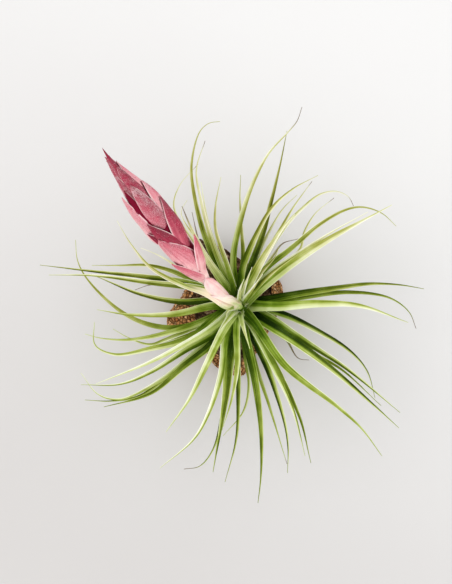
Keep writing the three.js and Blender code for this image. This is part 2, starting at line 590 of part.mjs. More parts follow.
function flowerSpike() {
  const rings = Array.from({ length: SPIKE_CORE_STEPS + 1 }, (_, step) => {
    const share = (step / SPIKE_CORE_STEPS) * SPIKE_CORE_TOP;
    const radius = spikeRadiusAt(share) * SPIKE_CORE_SHARE;
    return Array.from({ length: SPIKE_CORE_SIDES }, (_, k) => (
      aroundStalk(onStalk(share), (FULL_TURN * k) / SPIKE_CORE_SIDES, radius)
    ));
  });
  const [foot, point] = [SPIKE_START, onStalk(SPIKE_CORE_POINT)].map((share) => stalkRoute.getPointAt(share));
  const core = ringsGeometry(rings, foot, point);
  const bore = tubeGeometry(stretch(stalkRoute, ...BORE, STALK_STEPS), STALK_END_RADIUS + HOLE_CLEARANCE);
  return joined([toSolid(core), ...SPIKE_BRACTS.map(spikeBract)]).subtract(toSolid(bore));
}

function part(name, solid, finish) {
  const mesh = new THREE.Mesh(toGeometry(solid), new THREE.MeshStandardMaterial(finish));
  mesh.name = name;
  return mesh;
}

const plant = new THREE.Group();
plant.add(
  part('cork_bark', corkBark(), { color: 0x8a5f3c, roughness: 0.95, metalness: 0 }),
  part('leaf_rosette', leafRosette(), { color: 0x6f9a2e, roughness: 0.55, metalness: 0 }),
  part('flower_stalk', flowerStalk(), { color: 0xe8d6c0, roughness: 0.6, metalness: 0 }),
  part('flower_spike', flowerSpike(), { color: 0xcc5f78, roughness: 0.5, metalness: 0 }),
);

export default plant;
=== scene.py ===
"""An aeranthos air plant in flower, standing in a piece of cork bark, in a pale studio.

The leaves, the flower stalk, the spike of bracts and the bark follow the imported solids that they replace.
Lengths are in metres and angles in radians.
"""
import logging
import math
from collections.abc import Sequence
from dataclasses import dataclass
from enum import Enum

import bpy
import numpy as np
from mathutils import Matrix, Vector, noise
from mathutils.bvhtree import BVHTree


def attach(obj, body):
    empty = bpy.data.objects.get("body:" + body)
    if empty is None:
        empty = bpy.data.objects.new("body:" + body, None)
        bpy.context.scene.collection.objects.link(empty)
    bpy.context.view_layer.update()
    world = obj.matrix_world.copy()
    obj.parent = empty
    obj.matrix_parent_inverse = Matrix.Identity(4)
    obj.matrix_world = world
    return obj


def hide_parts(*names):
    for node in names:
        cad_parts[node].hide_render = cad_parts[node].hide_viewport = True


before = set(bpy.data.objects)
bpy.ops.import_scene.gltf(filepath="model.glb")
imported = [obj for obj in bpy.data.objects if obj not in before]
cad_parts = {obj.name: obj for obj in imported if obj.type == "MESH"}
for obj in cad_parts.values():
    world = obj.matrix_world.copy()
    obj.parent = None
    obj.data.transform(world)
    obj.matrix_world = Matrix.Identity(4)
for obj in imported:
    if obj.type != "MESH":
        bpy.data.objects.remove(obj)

LOG = logging.getLogger("air_plant")
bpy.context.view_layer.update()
BODY = "root"
MM = 0.001
FULL_TURN = 2 * math.pi
# Each step by this turn falls in the widest gap that earlier steps have left
GOLDEN_TURN = (math.sqrt(5) - 1) * math.pi
# Most values of a fractal noise lie in the first span, and nearly all in the second
NOISE_SPAN = (0.3, 0.7)
NOISE_REACH = (0.2, 0.8)

Array = np.ndarray
Range = tuple[float, float]
Pairs = tuple[tuple[float, float], ...]
Stops = tuple[tuple[float, str], ...]
Socket = bpy.types.NodeSocket
Material = bpy.types.Material
Piece = bpy.types.Object
Feed = Socket | bpy.types.ID | float | Sequence[float] | str


def colour(code: str) -> tuple[float, float, float, float]:
    """Turn a screen colour into the linear colour that a shader takes.

    Args:
        code: Six hexadecimal digits, red, green and blue.

    Returns:
        Red, green, blue and full opacity.
    """
    shares = [int(code[i : i + 2], 16) / 255 for i in (0, 2, 4)]
    red, green, blue = (s / 12.92 if s <= 0.04045 else ((s + 0.055) / 1.055) ** 2.4 for s in shares)
    return (red, green, blue, 1.0)


def smooth_step(low: float, high: float, value: Array | float) -> Array:
    """Rise smoothly from 0 at low to 1 at high.

    Args:
        low: Where the rise starts.
        high: Where it ends.
        value: One or more numbers to place on the rise.

    Returns:
        A number from 0 to 1 for each value.
    """
    share = np.clip((value - low) / (high - low), 0, 1)
    return share * share * (3 - 2 * share)


def seeded_draws(seed: int, count: int) -> list[float]:
    """Draw the same even random numbers as the solids do.

    Args:
        seed: Start of the row of numbers.
        count: How many are drawn.

    Returns:
        Numbers from 0 to 1.
    """
    word = 0xFFFFFFFF
    stride = 0x6D2B79F5
    salt = 61
    state = seed
    draws = []
    for _ in range(count):
        state = (state + stride) & word
        mixed = ((state ^ (state >> 15)) * (1 | state)) & word
        mixed = ((mixed + ((mixed ^ (mixed >> 7)) * (salt | mixed))) & word) ^ mixed
        draws.append((mixed ^ (mixed >> 14)) / 2**32)
    return draws


class SmoothCurve:
    """A centripetal Catmull-Rom curve through points, walked by its own length."""

    SAMPLES_PER_SPAN = 48
    PACE = 0.002

    def __init__(self, points: Array, closed: bool = False) -> None:
        """Sample the curve once.

        Args:
            points: One row for each point, in two or three dimensions.
            closed: Whether the last point leads back to the first.
        """
        points = np.asarray(points, dtype=float)
        before = points[-1:] if closed else 2 * points[:1] - points[1:2]
        after = points[:2] if closed else 2 * points[-1:] - points[-2:-1]
        knots = np.concatenate((before, points, after))
        spans = [self._span(knots[i : i + 4]) for i in range(len(knots) - 3)]
        end = points[:1] if closed else points[-1:]
        self.samples = np.concatenate((*spans, end))
        steps = np.linalg.norm(np.diff(self.samples, axis=0), axis=1)
        self.walked = np.concatenate(([0.0], np.cumsum(steps)))
        self.length = float(self.walked[-1])

    def _span(self, knots: Array) -> Array:
        """Sample the stretch between the second and third of four knots.

        Args:
            knots: Four points in a row.

        Returns:
            Points on the stretch, without its last one.
        """
        p0, p1, p2, p3 = knots
        g0, g1, g2 = np.sqrt(np.linalg.norm(np.diff(knots, axis=0), axis=1))
        leave = g1 * ((p1 - p0) / g0 - (p2 - p0) / (g0 + g1) + (p2 - p1) / g1)
        arrive = g1 * ((p2 - p1) / g1 - (p3 - p1) / (g1 + g2) + (p3 - p2) / g2)
        share = (np.arange(self.SAMPLES_PER_SPAN) / self.SAMPLES_PER_SPAN)[:, None]
        square = 3 * (p2 - p1) - 2 * leave - arrive
        cube = 2 * (p1 - p2) + leave + arrive
        return p1 + leave * share + square * share**2 + cube * share**3

    def at(self, share: Array | float) -> Array:
        """Find points by their share of the curve's length.

        Args:
            share: One or more numbers from 0 to 1.

        Returns:
            The points, one row for each share.
        """
        walk = np.clip(share, 0, 1) * self.length
        return np.stack([np.interp(walk, self.walked, axis) for axis in self.samples.T], axis=-1)

    def forward(self, share: Array | float) -> Array:
        """Find the unit direction of the curve at shares of its length.

        Args:
            share: One or more numbers from 0 to 1.

        Returns:
            The directions, one row for each share.
        """
        way = self.at(np.asarray(share) + self.PACE) - self.at(np.asarray(share) - self.PACE)
        return way / np.linalg.norm(way, axis=-1, keepdims=True)


@dataclass(frozen=True)
class Sight:
    """The eye point above the plant, and the level plane on which plan points are drawn."""

    eye: tuple[float, float, float] = (-6.5 * MM, 7 * MM, 700 * MM)
    level: float = 45 * MM
    focal_pixels: float = 1310
    image_height: int = 584
    sensor: float = 36

    def place(self, seen: Array, height: Array) -> Array:
        """Put plan points at their heights, on the lines that join them with the eye.

        Args:
            seen: Plan points in metres, one row each.
            height: Height of each point above the floor.

        Returns:
            Points in three dimensions.
        """
        share = (self.eye[2] - np.asarray(height)) / (self.eye[2] - self.level)
        middle = np.asarray(self.eye[:2])
        flat = middle + (np.asarray(seen) - middle) * share[..., None]
        return np.concatenate((flat, np.asarray(height)[..., None]), axis=-1)

    def camera(self) -> bpy.types.Object:
        """Make the camera at the eye point, looking straight down with +Y up in the picture.

        Returns:
            The camera.
        """
        lens = bpy.data.cameras.new("photo_camera")
        lens.sensor_width = self.sensor
        lens.lens = self.sensor * self.focal_pixels / self.image_height
        camera = bpy.data.objects.new("photo_camera", lens)
        camera.location = self.eye
        bpy.context.scene.collection.objects.link(camera)
        return camera


SIGHT = Sight()


class NodeSheet:
    """Adds and joins the nodes of one shader or geometry tree."""

    def __init__(self, tree: bpy.types.NodeTree) -> None:
        """Keep the tree.

        Args:
            tree: The node tree to fill.
        """
        self.tree = tree

    def feed(self, socket: Socket, value: Feed) -> None:
        """Join an output to an input, or write a plain value on the input.

        Args:
            socket: The input.
            value: An output socket, or the value itself.
        """
        if isinstance(value, Socket):
            self.tree.links.new(value, socket)
        else:
            socket.default_value = value

    def add(
        self, kind: str, inputs: dict[str | int, Feed] | None = None, **settings: object
    ) -> bpy.types.Node:
        """Add a node, set its options and feed its inputs.

        Args:
            kind: Blender's name of the node type.
            inputs: Values or outputs by the name or the place of the input.
            **settings: The node's own options.

        Returns:
            The new node.
        """
        node = self.tree.nodes.new(kind)
        for option, value in settings.items():
            setattr(node, option, value)
        for key, value in (inputs or {}).items():
            self.feed(node.inputs[key], value)
        return node

    def out(self, kind: str, inputs: dict[str | int, Feed] | None = None, **settings: object) -> Socket:
        """Add a node as add does, and take its first output."""
        return self.add(kind, inputs, **settings).outputs[0]

    def math(self, operation: str, *values: Feed, clamp: bool = False) -> Socket:
        """Work out one number.

        Args:
            operation: Blender's name of the operation.
            *values: Its one, two or three operands.
            clamp: Whether the result is kept between 0 and 1.

        Returns:
            The result's socket.
        """
        inputs = dict(enumerate(values))
        return self.out("ShaderNodeMath", inputs, operation=operation, use_clamp=clamp)

    def product(self, first: Feed, *others: Feed) -> Socket:
        """Multiply numbers.

        Args:
            first: The first number.
            *others: The numbers that it is multiplied by, one after another.

        Returns:
            The product's socket.
        """
        for other in others:
            first = self.math("MULTIPLY", first, other)
        return first

    def vector(self, x: Feed = 0.0, y: Feed = 0.0, z: Feed = 0.0) -> Socket:
        """Put three numbers together as one vector."""
        return self.out("ShaderNodeCombineXYZ", {0: x, 1: y, 2: z})

    def part(self, vector: Feed, axis: str) -> Socket:
        """Take one coordinate, X, Y or Z, from a vector."""
        return self.add("ShaderNodeSeparateXYZ", {0: vector}).outputs[axis]

    def scaled(self, vector: Feed, size: Feed) -> Socket:
        """Multiply a vector by one number."""
        return self.out("ShaderNodeVectorMath", {0: vector, "Scale": size}, operation="SCALE")

    def rise(self, value: Feed, low: float, high: float, to: Range = (0, 1)) -> Socket:
        """Map a number smoothly from one range to another.

        Args:
            value: The number.
            low: Where the rise starts.
            high: Where it ends.
            to: The results at both ends.

        Returns:
            The result's socket.
        """
        inputs = {"Value": value, "From Min": low, "From Max": high, "To Min": to[0], "To Max": to[1]}
        return self.add("ShaderNodeMapRange", inputs, interpolation_type="SMOOTHSTEP").outputs["Result"]


class ShaderSheet(NodeSheet):
    """The nodes of one surface finish, which ends in a single principled shader."""

    def __init__(self, name: str) -> None:
        """Start an empty material.

        Args:
            name: Name of the material.
        """
        self.material = bpy.data.materials.new(name)
        self.material.use_nodes = True
        super().__init__(self.material.node_tree)
        self.tree.nodes.clear()
        self.shader = self.add("ShaderNodeBsdfPrincipled")
        self.add("ShaderNodeOutputMaterial", {"Surface": self.shader.outputs[0]})

    def value(self, name: str) -> Socket:
        """Read a point value of the mesh by its name."""
        return self.add("ShaderNodeAttribute", attribute_name=name).outputs["Fac"]

    def place(self) -> Socket:
        """Read the place of a surface point in the object's own frame."""
        return self.add("ShaderNodeTexCoord").outputs["Object"]

    def cloud(self, where: Feed, scale: float, detail: float = 2.0, rough: float = 0.5) -> Socket:
        """Add a fractal noise from 0 to 1.

        Args:
            where: Vector that the noise is read at.
            scale: Its frequency.
            detail: Number of finer layers.
            rough: Strength of the finer layers.

        Returns:
            The noise's socket.
        """
        inputs = {"Vector": where, "Scale": scale, "Detail": detail, "Roughness": rough}
        return self.add("ShaderNodeTexNoise", inputs).outputs["Fac"]

    def cells(self, scale: float, feature: str = "F1", output: str = "Distance") -> Socket:
        """Add a pattern of irregular cells.

        Args:
            scale: Cells for each metre.
            feature: Blender's name of the distance that is measured.
            output: Blender's name of the output, Distance or, for F1, Color.

        Returns:
            The output's socket.
        """
        inputs = {"Vector": self.place(), "Scale": scale}
        return self.add("ShaderNodeTexVoronoi", inputs, feature=feature).outputs[output]

    def blend(self, share: Feed, first: Feed, second: Feed) -> Socket:
        """Mix two colours.

        Args:
            share: How much of the second colour, 0 to 1.
            first: Colour at 0.
            second: Colour at 1.

        Returns:
            The mixed colour's socket.
        """
        return self.add("ShaderNodeMix", {0: share, 6: first, 7: second}, data_type="RGBA").outputs[2]

    def coats(self, skin: Feed, *layers: tuple[Feed, str]) -> Socket:
        """Lay colours over a skin, one after another.

        Args:
            skin: The colour below them.
            *layers: For each colour, how much it covers, 0 to 1, and its screen colour.

        Returns:
            The socket of the skin with its coats.
        """
        for share, code in layers:
            skin = self.blend(share, skin, colour(code))
        return skin

    def ramp(self, share: Feed, stops: Stops) -> Socket:
        """Read a colour from a row of stops.

        Args:
            share: Place on the row, 0 to 1.
            stops: Place and screen colour of each stop.

        Returns:
            The colour's socket.
        """
        node = self.add("ShaderNodeValToRGB", {"Fac": share})
        elements = node.color_ramp.elements
        elements[0].position, elements[1].position = stops[0][0], stops[-1][0]
        elements[0].color, elements[1].color = colour(stops[0][1]), colour(stops[-1][1])
        for position, code in stops[1:-1]:
            elements.new(position).color = colour(code)
        return node.outputs["Color"]

    def relief(self, height: Feed, depth: float, strength: float = 1.0) -> None:
        """Let a height drive the shader's normal.

        Args:
            height: Height of the surface, 0 to 1.
            depth: Real depth of the relief in metres.
            strength: How much of it is used.
        """
        bump = self.add("ShaderNodeBump", {"Strength": strength, "Distance": depth, "Height": height})
        self.feed(self.shader.inputs["Normal"], bump.outputs["Normal"])

    def finished(self, **sockets: Feed) -> Material:
        """Feed the shader's own sockets and hand the material over.

        Args:
            **sockets: Values by the socket's name, with underscores for spaces.

        Returns:
            The material.
        """
        for name, value in sockets.items():
            self.feed(self.shader.inputs[name.replace("_", " ")], value)
        return self.material


@dataclass(frozen=True)
class LeafFinish:
    """Green leaf skin: darker along the channel, partly its own green and partly painted shade in the crease;
    one half painted lighter as lit and the other darker as shaded; thin pale rims; fine lengthwise lines.
    """

    green: Stops = (
        (0.0, "1C3302"), (0.2, "486609"), (0.4, "86A032"), (0.6, "C0CE82"), (0.8, "E0E8C0"), (1.0, "F6F8EA"),
    )
    olive: Stops = (
        (0.0, "333D04"), (0.2, "686D15"), (0.4, "A6A65A"), (0.6, "D1D2A4"), (0.8, "E9E8D1"), (1.0, "F7F6EB"),
    )
    dry: str = "77675F"
    cream: str = "F0E2CC"
    fleck_colour: str = "D5DBC6"
    seed_drift: float = 37.0
    line_run: float = 30.0
    stripes: float = 4.0
    stripe_tone: float = 0.08
    threads: float = 14.0
    thread_tone: float = 0.04
    patches: float = 85.0
    patch_tone: float = 0.07
    rim_edge: Range = (0.42 * MM, 0.1 * MM)
    rim_tone: float = 0.5
    rim_blades: Range = (0.4 * MM, 1.1 * MM)
    rim_in_shade: float = 0.25
    rim_painted_light_span: Range = (-0.4, 0.4)
    # Darker along the channel: the blade's own deeper green and painted shade in its crease
    channel: Range = (0.3, 0.0)
    channel_green_and_shade: float = -0.06
    # Painted light and shade across the blade: one half lighter, the other darker
    painted_side_slope: float = 0.14
    painted_side_step: float = 0.16
    painted_side_span: Range = (-0.3, 0.3)
    flecks: float = 3000.0
    fleck_edge: Range = (0.42, 0.1)
    fleck_patches: Range = (0.35, 0.7)
    fleck_cover: Range = (0.02, 0.22)
    fleck_relief: float = 0.2
    relief_depth: float = 0.14 * MM
    roughness: Range = (0.45, 0.6)

    def material(self) -> Material:
        """Build the leaf material.

        Returns:
            The material, which reads the point values of a blade.
        """
        sheet = ShaderSheet("leaf_skin")
        across = sheet.value("across")
        off_middle = sheet.math("ABSOLUTE", across)
        light_side = sheet.value("light_side")
        broad = sheet.value("half_width")
        drift = sheet.product(sheet.value("seed"), self.seed_drift)
        run = sheet.product(sheet.value("walk"), self.line_run)
        wide = sheet.math("MULTIPLY_ADD", across, self.stripes, drift)
        fine = sheet.math("MULTIPLY_ADD", across, self.threads, drift)
        stripe = sheet.cloud(sheet.vector(wide, run, drift), scale=1.0)
        thread = sheet.cloud(sheet.vector(fine, run, drift), scale=1.0, rough=0.6)
        patches = sheet.cloud(sheet.place(), self.patches)

        inland = sheet.product(sheet.math("SUBTRACT", 1.0, off_middle), broad)
        # The blade's own pale rims, brighter as a painted highlight on the half painted as lit and fainter on
        # the half painted as shaded
        lit = sheet.product(across, light_side)
        rim = sheet.product(
            sheet.rise(inland, *self.rim_edge, (0.0, self.rim_tone)),
            sheet.value("rim"),
            sheet.rise(broad, *self.rim_blades),
            sheet.rise(lit, *self.rim_painted_light_span, (self.rim_in_shade, 1.0)),
        )
        tone = sheet.math("ADD", sheet.value("tone"), rim)
        # Darker along the channel, partly its own green and partly painted shade in the crease
        tone = sheet.math("ADD", tone, sheet.rise(off_middle, *self.channel, (0.0, self.channel_green_and_shade)))
        # Painted light and shade: the half taken as lit is painted lighter and the other half darker
        painted_side_tone = sheet.rise(across, *self.painted_side_span, (-self.painted_side_step, self.painted_side_step))
        half = sheet.math("MULTIPLY_ADD", across, self.painted_side_slope, painted_side_tone)
        tone = sheet.math("MULTIPLY_ADD", half, light_side, tone)
        for pattern, strength in (
            (stripe, self.stripe_tone), (thread, self.thread_tone), (patches, self.patch_tone),
        ):
            tone = sheet.math("ADD", tone, sheet.rise(pattern, *NOISE_SPAN, (-strength, strength)))

        skin = sheet.blend(sheet.value("warmth"), sheet.ramp(tone, self.green), sheet.ramp(tone, self.olive))
        cell = sheet.cells(self.flecks)
        cover = sheet.rise(patches, *self.fleck_patches, self.fleck_cover)
        fleck = sheet.product(sheet.rise(cell, *self.fleck_edge), cover)
        skin = sheet.coats(
            skin,
            (fleck, self.fleck_colour),
            (sheet.value("cream"), self.cream),
            (sheet.value("dry"), self.dry),
        )
        height = sheet.math("MULTIPLY_ADD", cell, self.fleck_relief, thread)
        sheet.relief(height, self.relief_depth, strength=0.6)
        rough = sheet.rise(stripe, *NOISE_REACH, self.roughness)
        return sheet.finished(Base_Color=skin, Roughness=rough, Specular_IOR_Level=0.1)


@dataclass(frozen=True)
class BractFinish:
    """Papery bract skin: cream to crimson as it ripens, pale margins, fine veins and a whitish scurf; deep
    crimson insides and crevices, partly their own colour and partly painted shade, and painted shade on each
    bract's right half.
    """

    name: str
    ripening: Stops = (
        (0.0, "BFD084"), (0.08, "EEE6C2"), (0.17, "FBEDDD"), (0.3, "FBDFDB"),
        (0.46, "F2BABD"), (0.62, "D06F7F"), (0.8, "A52A49"), (1.0, "7A0A2E"),
    )
    margin: str = "FDE4E2"
    # Deep crimson of the bracts' insides, which also paints the shade in their crevices
    depth: str = "900F31"
    tan: str = "B98C5E"
    scurf: str = "F3D9DA"
    seed_drift: float = 29.0
    veins: float = 8.0
    vein_run: float = 45.0
    vein_ripening: float = 0.34
    patches: float = 260.0
    patch_ripening: float = 0.3
    # Painted shade on each bract's right half, away from the lamp, and painted light on its left
    painted_right_shade: float = 0.12
    streaks: Range = (0.52, 0.7)
    streak_ripeness: Range = (0.36, 0.1)
    streak_share: float = 0.6
    inner_crimson_and_shade: Range = (1.0, 0.2)
    inner_crimson_and_shade_share: float = 0.8
    margin_edge: Range = (0.84, 1.0)
    margin_share: float = 0.8
    # Painted shade: deep crimson where nearby bracts shelter a point
    crevice: Range = (0.08, 0.5)
    crevice_share: float = 0.88
    crevice_edge: Range = (0.98, 0.82)
    scales: float = 4800.0
    scale_edge: Range = (0.85, 0.05)
    scale_share: float = 0.56
    scale_patches: Range = (0.3, 0.65)
    scale_cover: Range = (0.2, 1.0)
    scale_relief: float = 0.3
    relief_depth: float = 0.2 * MM
    roughness: Range = (0.45, 0.62)

    def material(self) -> Material:
        """Build the bract material.

        Returns:
            The material, which reads the point values of a bract.
        """
        sheet = ShaderSheet(self.name)
        across = sheet.value("across")
        off_middle = sheet.math("ABSOLUTE", across)
        outside = sheet.value("outside")
        ripe = sheet.value("ripeness")
        drift = sheet.product(sheet.value("seed"), self.seed_drift)
        side = sheet.math("MULTIPLY_ADD", across, self.veins, drift)
        run = sheet.product(sheet.value("walk"), self.vein_run)
        vein = sheet.cloud(sheet.vector(side, run, drift), scale=1.0, detail=3.0, rough=0.6)
        patches = sheet.cloud(sheet.place(), self.patches, detail=4.0, rough=0.6)

        streak = sheet.rise(vein, *self.streaks, (0.0, self.streak_share))
        streak = sheet.product(streak, sheet.rise(ripe, *self.streak_ripeness))
        for pattern, strength in ((vein, self.vein_ripening), (patches, self.patch_ripening)):
            ripe = sheet.math("MULTIPLY_ADD", pattern, strength, sheet.math("SUBTRACT", ripe, strength / 2))
        # Painted shade on the right half of each bract and painted light on its left
        ripe = sheet.math("MULTIPLY_ADD", across, self.painted_right_shade, ripe)
        # Inner skin in deep crimson, partly its own colour and partly painted shade in the gaps
        inner_crimson_and_shade = sheet.rise(outside, *self.inner_crimson_and_shade, (0.0, self.inner_crimson_and_shade_share))
        edge = sheet.rise(off_middle, *self.margin_edge, (0.0, self.margin_share))
        edge = sheet.product(edge, outside)
        # Painted shade in the crevices, from how sheltered each point is
        fold = sheet.rise(sheet.value("crevice"), *self.crevice, (0.0, self.crevice_share))
        fold = sheet.product(fold, sheet.rise(off_middle, *self.crevice_edge))
        cell = sheet.cells(self.scales)
        grain = sheet.rise(cell, *self.scale_edge, (0.0, self.scale_share))
        grain = sheet.product(grain, sheet.rise(patches, *self.scale_patches, self.scale_cover))
        scurfy = sheet.math("MULTIPLY", grain, sheet.value("bloom"), clamp=True)

        skin = sheet.coats(
            sheet.ramp(ripe, self.ripening),
            (streak, self.tan),
            (inner_crimson_and_shade, self.depth),
            (edge, self.margin),
            (fold, self.depth),
            (scurfy, self.scurf),
        )
        height = sheet.math("MULTIPLY_ADD", cell, self.scale_relief, vein)
        sheet.relief(height, self.relief_depth, strength=0.7)
        rough = sheet.rise(vein, *NOISE_REACH, self.roughness)
        return sheet.finished(
            Base_Color=skin,
            Roughness=rough,
            Specular_IOR_Level=0.12,
            Sheen_Weight=0.04,
            Subsurface_Weight=0.12,
            Subsurface_Radius=(1.0, 0.5, 0.4),
            Subsurface_Scale=1.0 * MM,
        )


@dataclass(frozen=True)
class ScurfFinish:
    """Whitish scales with a blush of the bract below."""

    pale: str = "F3D6D6"
    blush: str = "E09FAA"
    tints: float = 700.0

    def material(self) -> Material:
        """Build the scurf material.

        Returns:
            The material.
        """
        sheet = ShaderSheet("bract_scurf")
        tint = sheet.rise(sheet.cloud(sheet.place(), self.tints), *NOISE_SPAN)
        skin = sheet.blend(tint, colour(self.pale), colour(self.blush))
        return sheet.finished(Base_Color=skin, Roughness=0.7, Specular_IOR_Level=0.2, Sheen_Weight=0.2)


@dataclass(frozen=True)
class BarkFinish:
    """Cork: dark furrowed bark, and a tan cut with granules between dark pores."""

    bark: Stops = ((0.0, "241811"), (0.35, "5A4432"), (0.6, "8B7058"), (0.8, "B49A7C"), (1.0, "D6C2A4"))
    cut: Stops = ((0.0, "6E3A18"), (0.3, "B87646"), (0.6, "E0AC78"), (0.85, "F8D6AC"), (1.0, "FFF0D8"))
    pore: str = "331D0D"
    pore_edge: Range = (0.26, 0.13)
    pore_share: float = 0.85
    granules: float = 560.0
    grit: float = 1500.0
    warps: float = 240.0
    ridges: float = 330.0
    cut_speck: float = 0.4
    cut_warp: float = 0.66
    pore_warp: float = 0.25
    ridge_tone: Range = (-0.1, 0.75)
    bark_speck: float = 0.25
    bark_ridge: float = 0.6
    ragged: float = 0.25
    border: Range = (0.4, 0.6)
    gap_width: float = 0.25
    ridge_relief: float = 1.5
    grit_relief: float = 0.4
    relief_depth: float = 0.8 * MM

    def material(self) -> Material:
        """Build the cork material.

        Returns:
            The material, which reads barkness and ridge.
        """
        sheet = ShaderSheet("cork_skin")
        where = sheet.place()
        warp = sheet.cloud(where, self.warps, detail=4.0, rough=0.6)
        gaps = sheet.cells(self.granules, "DISTANCE_TO_EDGE")
        grit = sheet.cells(self.grit)
        speck = sheet.out("ShaderNodeSeparateColor", {0: sheet.cells(self.granules, output="Color")})
        mixed = sheet.math("MULTIPLY_ADD", speck, self.cut_speck, sheet.product(warp, self.cut_warp))
        pore = sheet.math("MULTIPLY_ADD", warp, self.pore_warp, gaps)
        pore = sheet.rise(pore, *self.pore_edge, (0.0, self.pore_share))
        tan = sheet.coats(sheet.ramp(mixed, self.cut), (pore, self.pore))
        ridges = sheet.cloud(where, self.ridges, detail=6.0, rough=0.75)
        dark = sheet.rise(ridges, *NOISE_SPAN, self.ridge_tone)
        dark = sheet.math("MULTIPLY_ADD", speck, self.bark_speck, dark)
        dark = sheet.math("MULTIPLY_ADD", sheet.value("ridge"), self.bark_ridge, dark)
        ragged = sheet.rise(warp, *NOISE_SPAN, (-self.ragged, self.ragged))
        edge = sheet.math("ADD", sheet.value("barkness"), ragged)
        skin = sheet.blend(sheet.rise(edge, *self.border), tan, sheet.ramp(dark, self.bark))
        height = sheet.math("MULTIPLY_ADD", ridges, self.ridge_relief, sheet.rise(gaps, 0.0, self.gap_width))
        height = sheet.math("MULTIPLY_ADD", grit, self.grit_relief, height)
        sheet.relief(height, self.relief_depth)
        return sheet.finished(Base_Color=skin, Roughness=0.95, Specular_IOR_Level=0.12)


@dataclass(frozen=True)
class DryFinish:
    """Old leaf sheaths: papery straw brown with fine dark streaks."""

    tones: Stops = ((0.2, "4A3522"), (0.45, "86694A"), (0.62, "B79E78"), (0.85, "DCCBA8"))
    streaks: float = 900.0
    streak_stretch: float = 0.25
    streak_tone: float = 0.6
    stains: float = 160.0
    stain_tone: float = 0.4
    relief_depth: float = 0.25 * MM

    def material(self) -> Material:
        """Build the dry sheath material.

        Returns:
            The material.
        """
        sheet = ShaderSheet("dry_sheath")
        where = sheet.place()
        scale = (1.0, 1.0, self.streak_stretch)
        stretched = sheet.out("ShaderNodeMapping", {"Vector": where, "Scale": scale})
        streak = sheet.cloud(stretched, self.streaks, detail=3.0, rough=0.6)
        stain = sheet.cloud(where, self.stains)
        stain = sheet.product(stain, self.stain_tone)
        skin = sheet.ramp(sheet.math("MULTIPLY_ADD", streak, self.streak_tone, stain), self.tones)
        sheet.relief(streak, self.relief_depth, strength=0.8)
        return sheet.finished(Base_Color=skin, Roughness=0.8, Specular_IOR_Level=0.2)


@dataclass(frozen=True)
class FloorFinish:
    """Matt pale studio paper with painted light: a little darker towards the lower left, with the faintest
    mottling.
    """

    light: str = "DBDBDB"
    dark: str = "C5C3C2"
    reach: float = 0.24
    lean: float = 0.7
    slope: Range = (-0.12, 0.88)
    mottles: float = 6.0
    mottling: float = 0.24

    def material(self) -> Material:
        """Build the floor material.

        Returns:
            The material.
        """
        sheet = ShaderSheet("studio_paper")
        where = sheet.place()
        # Painted light: the paper's colour falls off towards the lower left, as if it were lit unevenly
        painted_light_axis = sheet.math("MULTIPLY_ADD", sheet.part(where, "X"), self.lean, sheet.part(where, "Y"))
        slope = sheet.rise(painted_light_axis, -self.reach, self.reach, self.slope)
        mottle = sheet.cloud(where, self.mottles, detail=3.0)
        share = sheet.math("MULTIPLY_ADD", mottle, self.mottling, slope, clamp=True)
        skin = sheet.blend(share, colour(self.dark), colour(self.light))
        return sheet.finished(Base_Color=skin, Roughness=0.9, Specular_IOR_Level=0.1)


class Draft:
    """Points, faces, edges and point values of one piece while it is built."""

    def __init__(self) -> None:
        """Start with nothing."""
        self.points: list[Array] = []
        self.faces: list[tuple[int, ...]] = []
        self.edges: list[tuple[int, int]] = []
        self.values: dict[str, list[Array]] = {}
        self.count = 0

    def add(
        self,
        points: Array,
        faces: Sequence[Sequence[int]] = (),
        edges: Sequence[Sequence[int]] = (),
        **values: Array | float,
    ) -> None:
        """Add one patch, whose faces and edges count its own points from 0.

        Args:
            points: One row for each point.
            faces: Corners of each face, anticlockwise from outside.
            edges: Ends of each loose edge.
            **values: A number for each point, or one for all of them, by name.
        """
        points = np.asarray(points, dtype=float).reshape(-1, 3)
        self.points.append(points)
        self.faces.extend(tuple(corner + self.count for corner in face) for face in faces)
        self.edges.extend((a + self.count, b + self.count) for a, b in edges)
        for name, value in values.items():
            self.values.setdefault(name, []).append(np.broadcast_to(value, len(points)))
        self.count += len(points)

    def piece(self, name: str, material: Material | None = None) -> Piece:
        """Make the object from what was added.

        Args:
            name: Name of the object and of its mesh.
            material: Its finish, if it has one yet.

        Returns:
            The object, at the origin.
        """
        mesh = bpy.data.meshes.new(name)
        mesh.from_pydata(np.concatenate(self.points).tolist(), self.edges, self.faces)
        for label, values in self.values.items():
            layer = mesh.attributes.new(label, "FLOAT", "POINT")
            layer.data.foreach_set("value", np.concatenate(values).astype(np.float32))
        mesh.polygons.foreach_set("use_smooth", [True] * len(mesh.polygons))
        if material is not None:
            mesh.materials.append(material)
        mesh.update()
        piece = bpy.data.objects.new(name, mesh)
        bpy.context.scene.collection.objects.link(piece)
        return piece


def ring_faces(rings: int, sides: int) -> list[tuple[int, ...]]:
    """Join rings of points into a closed skin, with a flat face over the first and the last ring.

    Args:
        rings: Number of rings, each anticlockwise as seen from beyond the last one.
        sides: Points in each ring.

    Returns:
        Corners of the faces.
    """
    faces = [
        (low + k, low + (k + 1) % sides, low + sides + (k + 1) % sides, low + sides + k)
        for low in range(0, (rings - 1) * sides, sides)
        for k in range(sides)
    ]
    faces.append(tuple(reversed(range(sides))))
    faces.append(tuple(range((rings - 1) * sides, rings * sides)))
    return faces


